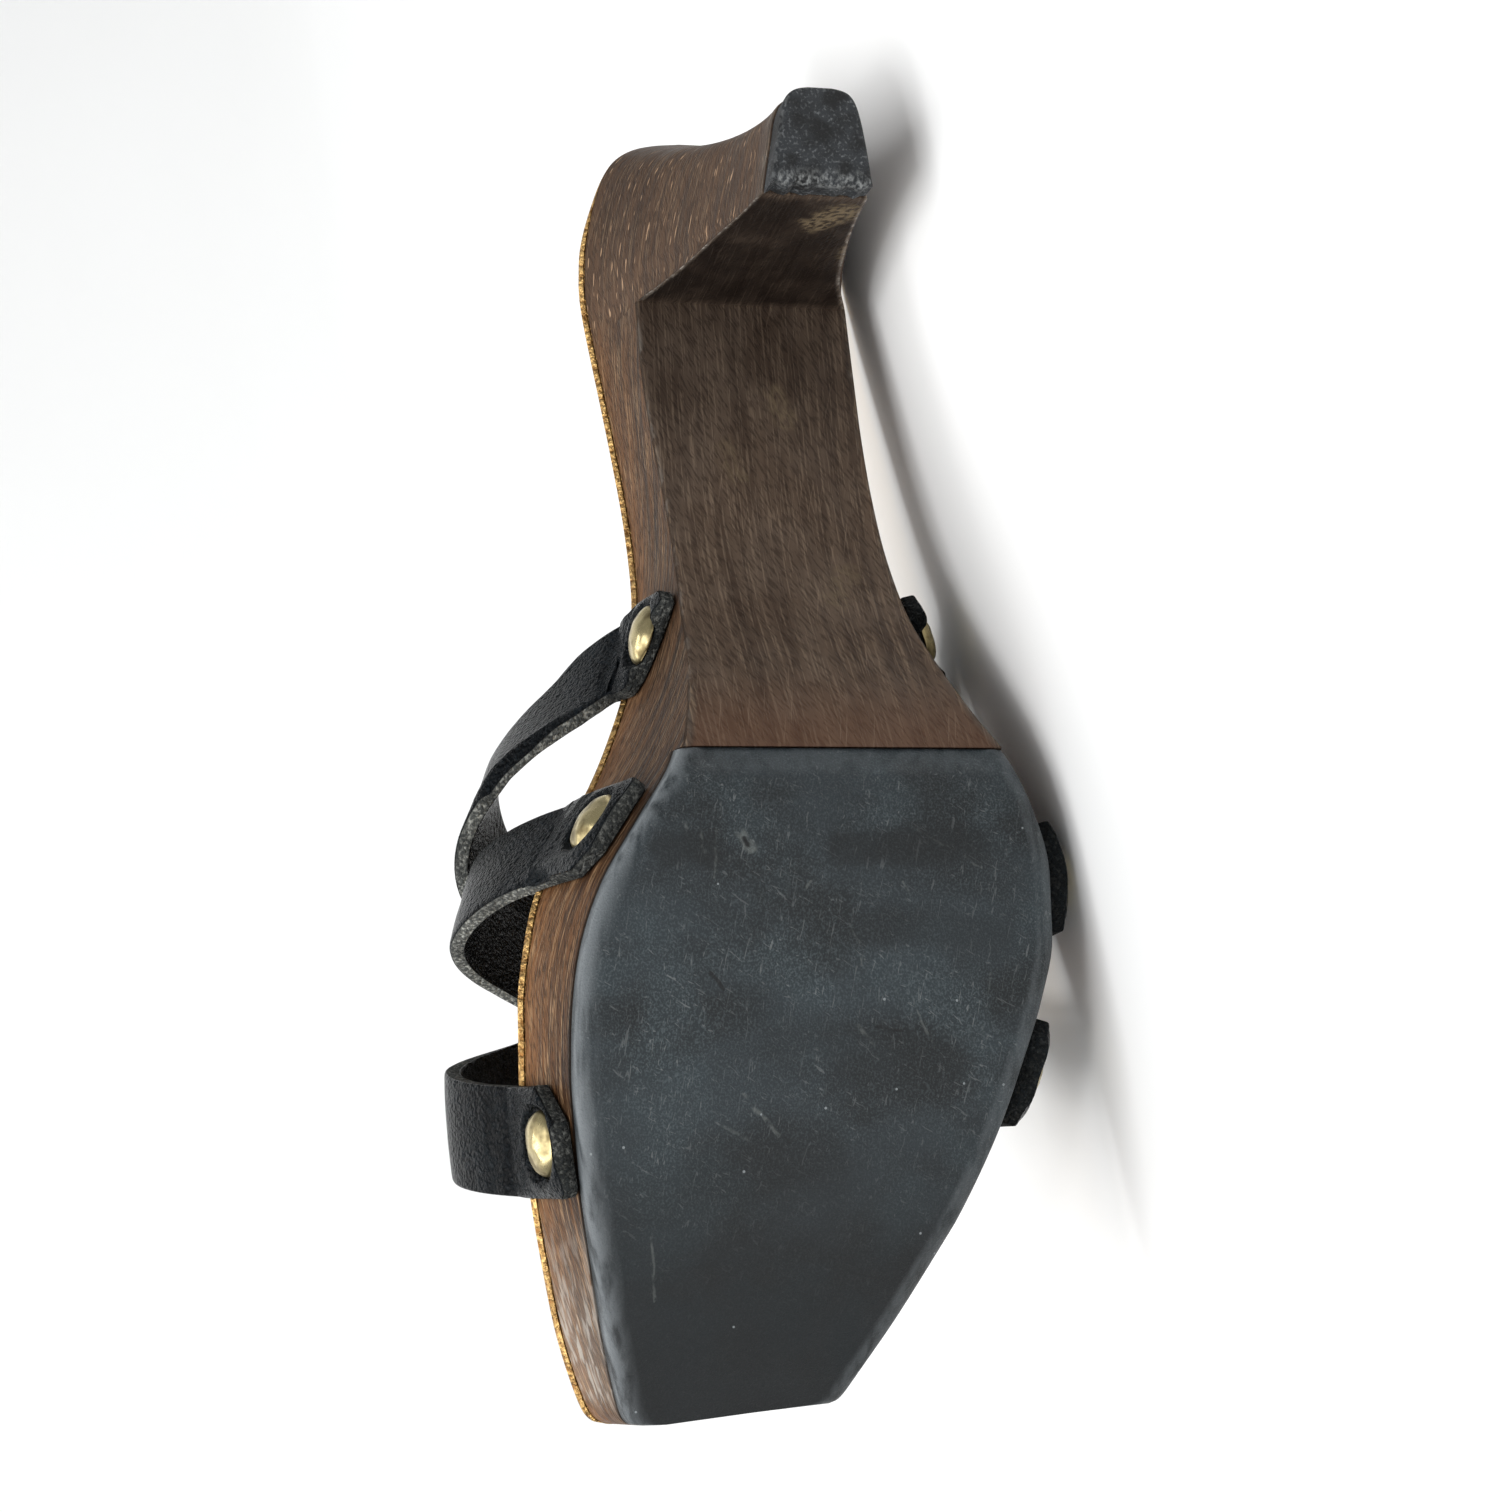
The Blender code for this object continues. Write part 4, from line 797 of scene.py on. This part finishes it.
def heel_top_lift(material):
    """Small rubber block with rounded corners, ground down a little at its edges and torn at the front."""
    ring = [BREAST[-1]] + BACKPART
    half = [(r.x_low, r.medial_low - LIFT_INSET) for r in ring]
    other = [(r.x_low, r.lateral_low + LIFT_INSET) for r in ring[::-1]]
    front = across((*other[-1], 0.0), (*half[0], 0.0), 16)[1:-1]
    outline = np.array(half + other + [(x, y) for x, y, _ in front])
    middle = outline.mean(axis=0)
    is_front = np.array([0.0] * (len(half) + len(other)) + [1.0] * len(front))
    is_front[0] = is_front[len(half) + len(other) - 1] = 0.8
    tear = 0.45 * np.sin(outline[:, 1] * 2.7) * np.sin(outline[:, 1] * 1.1 + 0.6) * is_front
    # Heights in mm with the outline's size there, from the wood down to the tread and across it
    levels = [(LIFT_THICK, 1.0), (LIFT_THICK * 0.5, 1.0), (0.9, 1.0), (0.3, 0.985), (0.05, 0.95), (0.0, 0.9),
              (0.0, 0.7), (0.0, 0.5), (0.0, 0.3), (0.0, 0.1)]
    loops, rub_and_sheen = [], []
    for z, scale in levels:
        loop = []
        for k, spot in enumerate(outline):
            x, y = middle + (spot - middle) * scale
            loop.append((x + tear[k] * (scale > 0.8), y, z))
            medial = float(k < len(half))
            torn = is_front[k] * float(z < 1.0 and scale > 0.85)
            # Torn front edge, plus a painted highlight along the lower edge, stronger on the medial side
            rub_and_sheen.append(torn + (0.1 + 0.3 * medial) * float(0.93 < scale < 0.99))
        loops.append(loop)
    whole = [range(len(outline))]
    points, faces = skin(loops, whole, whole)
    return new_piece("heel_top_lift_worn", points, faces, material, ["heel_top_lift"], {"rub_and_sheen": rub_and_sheen})


def arch_at(x):
    return Arch(x, *[np.interp(x, [a.x for a in ARCHES], [getattr(a, n) for a in ARCHES])
                     for n in ("height", "slack_medial", "slack_lateral")])


def arch_point(x, share):
    """Point on the foot's form, where share runs from the medial edge (0) over the top to the lateral."""
    arch = arch_at(x)
    medial = along("medial_top", x)
    lateral = along("lateral_top", x)
    turn = math.pi * share
    slack = arch.slack_medial if share < 0.5 else arch.slack_lateral
    y = (medial + lateral) / 2 + (medial - lateral) / 2 * math.cos(turn) + slack * math.sin(2 * turn)
    return np.array((x, y, along("z_top", x) + GAP + INSOLE_THICK + arch.height * math.sin(turn)))


def measure_girth(x):
    points = [arch_point(x, s) for s in np.linspace(0.0, 1.0, 33)]
    return sum(np.linalg.norm(b - a) for a, b in zip(points, points[1:]))


GIRTH_X = np.arange(70.0, 231.0, 4.0)
GIRTHS = [measure_girth(x) for x in GIRTH_X]


def girth(x):
    return np.interp(x, GIRTH_X, GIRTHS)


def form_point(x, reach):
    """Point at a reach in mm round the foot's form; below 0 and beyond the girth it runs down the walls."""
    total = girth(x)
    if 0.0 <= reach <= total:
        return arch_point(x, reach / total)
    side, drop = (1, -reach) if reach < 0.0 else (-1, reach - total)
    rise = GAP + INSOLE_THICK
    rib = at_x(x)
    share = (drop - rise) / (rib.z_top - rib.z_low)
    edge = wall_point(rib, side, max(share, 0.0))
    return np.array((edge[0], edge[1], rib.z_top + rise - drop))


def form_frame(x, reach, step=0.6):
    """Point, the two surface directions and the outward normal of the form."""
    along_x = (form_point(x + step, reach) - form_point(x - step, reach)) / (2 * step)
    around = (form_point(x, reach + step) - form_point(x, reach - step)) / (2 * step)
    normal = np.cross(around, along_x)
    return form_point(x, reach), along_x, around, normal / np.linalg.norm(normal)


def strap_way(strap):
    """The strap's middle line as rows of run in mm, x and reach round the form."""
    rise = GAP + INSOLE_THICK
    rows = [(strap.medial.x, -(strap.medial.rear_drop + strap.medial.front_drop) / 2 - rise)]
    rows += [(x, share * girth(x)) for x, share in strap.way]
    end = strap.lateral
    rows.append((end.x, girth(end.x) + (end.rear_drop + end.front_drop) / 2 + rise))
    fine = smooth(rows, 24)
    places = np.array([form_point(*row) for row in fine])
    run = np.concatenate(([0.0], np.cumsum(np.linalg.norm(np.diff(places, axis=0), axis=1))))
    inner = np.linspace(0.0, run[-1], int(run[-1] / STRAP_STEP) + 1)
    stops = np.concatenate(([0.0, 0.3], inner[1:-1], [run[-1] - 0.3, run[-1]]))
    return [(r, np.interp(r, run, fine[:, 0]), np.interp(r, run, fine[:, 1])) for r in stops]


def nail_frame(foot, side):
    """Point on the strap's outer face where a nail goes in, and the outward direction."""
    rise = GAP + INSOLE_THICK
    reach = -foot.nail_drop - rise if side > 0 else girth(foot.nail_x) + foot.nail_drop + rise
    place, _, _, out = form_frame(foot.nail_x, reach)
    return place + out * (GAP + STRAP_THICK), out


def crease_depth(strap, run, across_mm):
    """Depth in mm of the creases at one place of a strap."""
    depth = 0.0
    for c in CREASES:
        if c.strap != strap.name:
            continue
        way = np.array((c.to_along - c.from_along, c.to_across - c.from_across))
        spot = np.array((run - c.from_along, across_mm - c.from_across))
        share = np.clip(spot @ way / (way @ way), 0.0, 1.0)
        depth += c.depth * math.exp(-np.sum((spot - share * way) ** 2) / c.width ** 2)
    return depth


# Cut corners of the straps' medial ends, heel side and toe side, in mm
CORNER_CUTS = {"front_strap": (6.0, 1.2), "middle_strap": (1.2, 4.0), "rear_strap": (2.4, 1.6)}
# How far the straps turn on edge beyond their medial studs, as rise over width
TWISTS = {"front_strap": 0.0, "middle_strap": 0.04, "rear_strap": 0.13}
# How far the dye has gone from the straps' cut edges
BARE_EDGES = {"front_strap": 0.35, "middle_strap": 1.0, "rear_strap": 0.8}
BARE_MEDIAL_END = 0.26
# Places across a strap, from the heel side's edge to the toe side's, closer together at the edges
SHARES = np.array([-1.0, -0.982, -0.945, -0.88, -0.79, -0.70, -0.60, -0.50, -0.40, -0.30, -0.20, -0.10, 0.0])
SHARES = np.concatenate((SHARES, -SHARES[-2::-1]))
# How far the outer face drops at its edge, at the next places in from the edge, and at the strap's ends, in mm
OUTER_EASE = {0: 0.55, 1: 0.17, 2: 0.03}
END_EASE = 0.4


def strap_band(strap):
    """Loops of one strap with its values for the leather: along, across and face."""
    way = strap_way(strap)
    length = way[-1][0]
    nails = [nail_frame(strap.medial, 1), nail_frame(strap.lateral, -1)]
    start_skew = (strap.medial.rear_drop - strap.medial.front_drop) / 2
    end_skew = (strap.lateral.front_drop - strap.lateral.rear_drop) / 2
    count = len(SHARES)
    loops, values, undyed = [], [], []
    for k, (run, x, reach) in enumerate(way):
        skew = (start_skew * max(0.0, 1.0 - run / SKEW_FADE)
                + end_skew * max(0.0, 1.0 - (length - run) / SKEW_FADE))
        ahead = way[min(k + 1, len(way) - 1)]
        behind = way[max(k - 1, 0)]
        _, along_x, around, normal = form_frame(x, reach)
        heading = along_x * (ahead[1] - behind[1]) + around * (ahead[2] - behind[2])
        sideways = np.cross(normal, heading)
        sideways /= np.linalg.norm(sideways)
        step_x, step_reach = np.linalg.lstsq(np.column_stack((along_x, around)), sideways, rcond=None)[0]
        to_end = min(run, length - run)
        cut = CORNER_CUTS[strap.name] if run < length / 2 else (END_CHAMFER, END_CHAMFER)
        heel_half, toe_half = (STRAP_WIDTH / 2 - c * max(0.0, 1.0 - to_end / (1.2 * c)) for c in cut)
        end_bare = BARE_MEDIAL_END if run < length / 2 else 0.0
        bare = end_bare + (BARE_EDGES[strap.name] - end_bare) * ease(to_end, 10.0, 30.0)
        lean = TWISTS[strap.name] * ease(run, 17.0, 38.0) * (1.0 - ease(run, 0.36 * length, 0.5 * length))
        raised = GAP + np.interp(reach / girth(x), *zip(*strap.layer))
        squeeze = END_EASE * (1.0 - ease(to_end, 0.0, 0.3))
        outer, inner, outer_values, inner_values = [], [], [], []
        for i, share in enumerate(SHARES):
            w = share * (toe_half if share > 0.0 else heel_half)
            place, _, _, out = form_frame(x + w * step_x, reach + w * step_reach + skew * share)
            rim = min(i, count - 1 - i)
            face = place + out * (raised + STRAP_THICK)
            lift = -OUTER_EASE.get(rim, 0.0) - squeeze
            turned = w * lean
            for nail, aim in nails:
                off = face - nail
                far = np.linalg.norm(off - aim * (off @ aim))
                if far < 2 * PUFF_RADIUS:
                    pocket = 1.0 - ease(far, STUD_RADIUS + 0.1, STUD_RADIUS + 0.9)
                    puff = PUFF_HEIGHT * math.exp(-((far - PUFF_RADIUS) / PUFF_WIDTH) ** 2)
                    lift += (puff * (1.0 - pocket) * ease(1.0 - abs(share), 0.0, 0.3)) - POCKET_DEPTH * pocket
            if rim > 1:
                lift -= crease_depth(strap, run, w)
            outer.append(tuple(face + out * (lift + turned)))
            inner.append(tuple(place + out * (raised + turned + 0.7 * OUTER_EASE.get(rim, 0.0) + squeeze)))
            outer_values.append((run, w, 0.0 if rim == 0 or to_end < 0.1 else 1.0))
            inner_values.append((run, w, 0.0 if rim == 0 or to_end < 0.1 else -1.0))
        loops.append(outer + inner[::-1])
        values += outer_values + inner_values[::-1]
        undyed += [bare] * (2 * count)
    cells = [(i, i + 1, 2 * count - 2 - i, 2 * count - 1 - i) for i in range(count - 1)]
    points, faces = skin(loops, cells, cells)
    return points, faces, values, undyed


def strap_upper(material):
    """The three straps in one piece, laid over each other where they cross."""
    points, faces, values, undyed = [], [], [], []
    for strap in STRAPS:
        band_points, band_faces, band_values, band_undyed = strap_band(strap)
        faces += [tuple(i + len(points) for i in face) for face in band_faces]
        points += band_points
        values += band_values
        undyed += band_undyed
    return new_piece("strap_upper_leather", points, faces, material, ["strap_upper"],
                     {"strap": values, "undyed": undyed})


def stud_tree(material):
    """Node tree that sets a dented dome on each point, turned to the point's aim."""
    tree = bpy.data.node_groups.new("domed_studs", "GeometryNodeTree")
    face = tree.interface
    face.new_socket("Places", in_out="INPUT", socket_type="NodeSocketGeometry")
    for name, value in (("Radius", STUD_RADIUS * MM), ("Height", STUD_HEIGHT * MM), ("Sunk", STUD_SUNK * MM),
                        ("Lip", 0.35 * MM), ("Dent", 0.22 * MM), ("Dent Size", 3.6 * MM)):
        face.new_socket(name, in_out="INPUT", socket_type="NodeSocketFloat").default_value = value
    face.new_socket("Seed", in_out="INPUT", socket_type="NodeSocketInt").default_value = 3
    face.new_socket("Studs", in_out="OUTPUT", socket_type="NodeSocketGeometry")
    start = add(tree, "NodeGroupInput", {}, {}).outputs
    ball = add(tree, "GeometryNodeMeshUVSphere", {}, {"Segments": 40, "Rings": 22, "Radius": 1.0}).outputs["Mesh"]
    at = add(tree, "ShaderNodeSeparateXYZ", {}, {0: add(tree, "GeometryNodeInputPosition", {}, {}).outputs[0]}).outputs
    high = add(tree, "ShaderNodeMath", {"operation": "MAXIMUM"}, {0: at["Z"], 1: 0.0}).outputs[0]
    low = add(tree, "ShaderNodeMath", {"operation": "MINIMUM"}, {0: at["Z"], 1: 0.0}).outputs[0]
    dome = add(tree, "ShaderNodeMath", {"operation": "MULTIPLY"}, {0: high, 1: start["Height"]}).outputs[0]
    lip = add(tree, "ShaderNodeMath", {"operation": "MULTIPLY"}, {0: low, 1: start["Lip"]}).outputs[0]
    sunk = add(tree, "ShaderNodeMath", {"operation": "SUBTRACT"}, {0: dome, 1: start["Sunk"]}).outputs[0]
    z = add(tree, "ShaderNodeMath", {"operation": "ADD"}, {0: sunk, 1: lip}).outputs[0]
    x = add(tree, "ShaderNodeMath", {"operation": "MULTIPLY"}, {0: at["X"], 1: start["Radius"]}).outputs[0]
    y = add(tree, "ShaderNodeMath", {"operation": "MULTIPLY"}, {0: at["Y"], 1: start["Radius"]}).outputs[0]
    rim = add(tree, "ShaderNodeMapRange", {}, {"Value": at["Z"], "From Min": 0.42, "From Max": 0.12}).outputs["Result"]
    marked = add(tree, "GeometryNodeStoreNamedAttribute", {"data_type": "FLOAT", "domain": "POINT"},
                 {"Geometry": ball, "Name": "rim", "Value": rim}).outputs["Geometry"]
    shaped = add(tree, "GeometryNodeSetPosition", {},
                 {"Geometry": marked, "Position": add(tree, "ShaderNodeCombineXYZ", {}, {0: x, 1: y, 2: z}).outputs[0]})
    aim = add(tree, "GeometryNodeInputNamedAttribute", {"data_type": "FLOAT_VECTOR"},
              {"Name": "aim"}).outputs["Attribute"]
    turn = add(tree, "FunctionNodeAlignRotationToVector", {"axis": "Z"}, {"Vector": aim}).outputs["Rotation"]
    set_on = add(tree, "GeometryNodeInstanceOnPoints", {},
                 {"Points": start["Places"], "Instance": shaped.outputs["Geometry"], "Rotation": turn})
    real = add(tree, "GeometryNodeRealizeInstances", {}, {"Geometry": set_on.outputs["Instances"]}).outputs["Geometry"]
    finer = add(tree, "ShaderNodeVectorMath", {"operation": "DIVIDE"},
                {0: add(tree, "GeometryNodeInputPosition", {}, {}).outputs[0], 1: start["Dent Size"]}).outputs["Vector"]
    shifted = add(tree, "ShaderNodeVectorMath", {"operation": "ADD"}, {0: finer, 1: start["Seed"]}).outputs["Vector"]
    noise = add(tree, "ShaderNodeTexNoise", {}, {"Vector": shifted, "Scale": 1.0, "Detail": 1.0}).outputs["Fac"]
    depth = add(tree, "ShaderNodeMapRange", {},
                {"Value": noise, "From Min": 0.62, "From Max": 0.36, "To Min": -1.0, "To Max": 0.0}).outputs["Result"]
    amount = add(tree, "ShaderNodeMath", {"operation": "MULTIPLY"}, {0: depth, 1: start["Dent"]}).outputs[0]
    push = add(tree, "ShaderNodeVectorMath", {"operation": "SCALE"},
               {0: add(tree, "GeometryNodeInputNormal", {}, {}).outputs[0], "Scale": amount}).outputs["Vector"]
    dented = add(tree, "GeometryNodeSetPosition", {}, {"Geometry": real, "Offset": push}).outputs["Geometry"]
    soft = add(tree, "GeometryNodeSetShadeSmooth", {}, {"Geometry": dented}).outputs["Geometry"]
    done = add(tree, "GeometryNodeSetMaterial", {}, {"Geometry": soft, "Material": material}).outputs["Geometry"]
    add(tree, "NodeGroupOutput", {}, {"Studs": done})
    return tree


def studs(material):
    """Six domed studs, set by a node tree on the nails' places."""
    nails = [nail_frame(foot, side) for strap in STRAPS for foot, side in ((strap.medial, 1), (strap.lateral, -1))]
    turn = PLACE.to_3x3().normalized()
    mesh = bpy.data.meshes.new("nail_places")
    mesh.from_pydata([PLACE @ Vector(place) for place, _ in nails], [], [])
    aims = mesh.attributes.new("aim", "FLOAT_VECTOR", "POINT")
    aims.data.foreach_set("vector", np.array([turn @ Vector(out) for _, out in nails], dtype=np.float32).ravel())
    places = bpy.data.objects.new("nail_places", mesh)
    bpy.context.scene.collection.objects.link(places)
    tree = stud_tree(material)
    grow = places.modifiers.new("studs", "NODES")
    grow.node_group = tree
    inputs = {item.name: item.identifier for item in tree.interface.items_tree if item.in_out == "INPUT"}
    grow[inputs["Seed"]] = 7
    evaluated = places.evaluated_get(bpy.context.evaluated_depsgraph_get())
    result = bpy.data.meshes.new_from_object(evaluated)
    bpy.data.objects.remove(places)
    nodes = ["stud_%s_%s" % (side, at) for side in ("medial", "lateral") for at in ("rear", "middle", "front")]
    return ride(bpy.data.objects.new("brass_studs", result), nodes)


# Stage

FLOOR_HALF_WIDTH = 3.0
BACKDROP_START = 1.2
BACKDROP_RADIUS = 0.8
BACKDROP_HEIGHT = 3.0


def floor_and_backdrop():
    """Pale floor that bends up into a backdrop behind the shoe."""
    turns = np.radians(np.linspace(0.0, 90.0, 13))
    section = [(-3.0, 0.0), (BACKDROP_START, 0.0)]
    section += [(BACKDROP_START + BACKDROP_RADIUS * math.sin(a), BACKDROP_RADIUS * (1 - math.cos(a)))
                for a in turns[1:]]
    section.append((BACKDROP_START + BACKDROP_RADIUS, BACKDROP_HEIGHT))
    points = [(x, y, z) for y, z in section for x in (-FLOOR_HALF_WIDTH, FLOOR_HALF_WIDTH)]
    faces = [(2 * i, 2 * i + 1, 2 * i + 3, 2 * i + 2) for i in range(len(section) - 1)]
    mesh = bpy.data.meshes.new("studio_floor")
    mesh.from_pydata(points, [], faces)
    mesh.polygons.foreach_set("use_smooth", [True] * len(mesh.polygons))
    mesh.materials.append(pale_floor())
    floor = bpy.data.objects.new("studio_floor", mesh)
    bpy.context.scene.collection.objects.link(floor)


# Camera at the photo's angle to the upright shoe, in mm: its place, what it looks at, and the image's right
CAMERA_PLACE = (193.2, 108.3, -429.2)
CAMERA_AIM = (125.5, 3.7, 39.3)
CAMERA_RIGHT = (0.025, -0.976, -0.214)
CAMERA_LENS = 66.7

Lamp = namedtuple("Lamp", "name place aim width height power")
LAMPS = [
    Lamp("overhead_softbox", (-0.15, -0.30, 0.95), (0.0, 0.0, 0.05), 1.3, 1.0, 9.0),
    Lamp("front_softbox", (-0.45, -0.95, 0.55), (0.0, 0.0, 0.05), 1.0, 1.0, 4.6),
    Lamp("glint_lamp", (-0.25, -0.75, 0.70), (0.0, 0.0, 0.05), 0.12, 0.12, 1.2),
    Lamp("backdrop_lamp", (0.0, 0.75, 1.9), (0.0, 1.9, 0.6), 2.0, 0.5, 23.0),
]


def camera():
    data = bpy.data.cameras.new("camera")
    data.lens = CAMERA_LENS
    data.sensor_width = 36.0
    data.clip_start = 0.01
    eye = PLACE @ Vector(CAMERA_PLACE)
    ahead = (PLACE @ Vector(CAMERA_AIM) - eye).normalized()
    right = PLACE.to_3x3() @ Vector(CAMERA_RIGHT)
    right = (right - ahead * right.dot(ahead)).normalized()
    turned = Matrix((right, right.cross(ahead), -ahead)).transposed()
    obj = bpy.data.objects.new("camera", data)
    obj.matrix_world = Matrix.Translation(eye) @ turned.to_4x4()
    bpy.context.scene.collection.objects.link(obj)
    bpy.context.scene.camera = obj


def lights():
    for lamp in LAMPS:
        data = bpy.data.lights.new(lamp.name, "AREA")
        data.shape = "RECTANGLE"
        data.size = lamp.width
        data.size_y = lamp.height
        data.energy = lamp.power
        obj = bpy.data.objects.new(lamp.name, data)
        obj.location = lamp.place
        obj.rotation_euler = (Vector(lamp.aim) - Vector(lamp.place)).to_track_quat("-Z", "Y").to_euler()
        bpy.context.scene.collection.objects.link(obj)
    world = bpy.data.worlds.new("studio_air")
    world.use_nodes = True
    sky = world.node_tree.nodes["Background"]
    sky.inputs["Color"].default_value = linear("#f2f5f8")
    sky.inputs["Strength"].default_value = 0.34
    bpy.context.scene.world = world
    bpy.context.scene.view_settings.view_transform = "Standard"


camera()
lights()
floor_and_backdrop()
wooden_base(stained_alder())
insole(gold_foil())
forefoot_outsole(scuffed_rubber())
heel_top_lift(worn_lift_rubber())
strap_upper(black_leather())
studs(antique_brass())
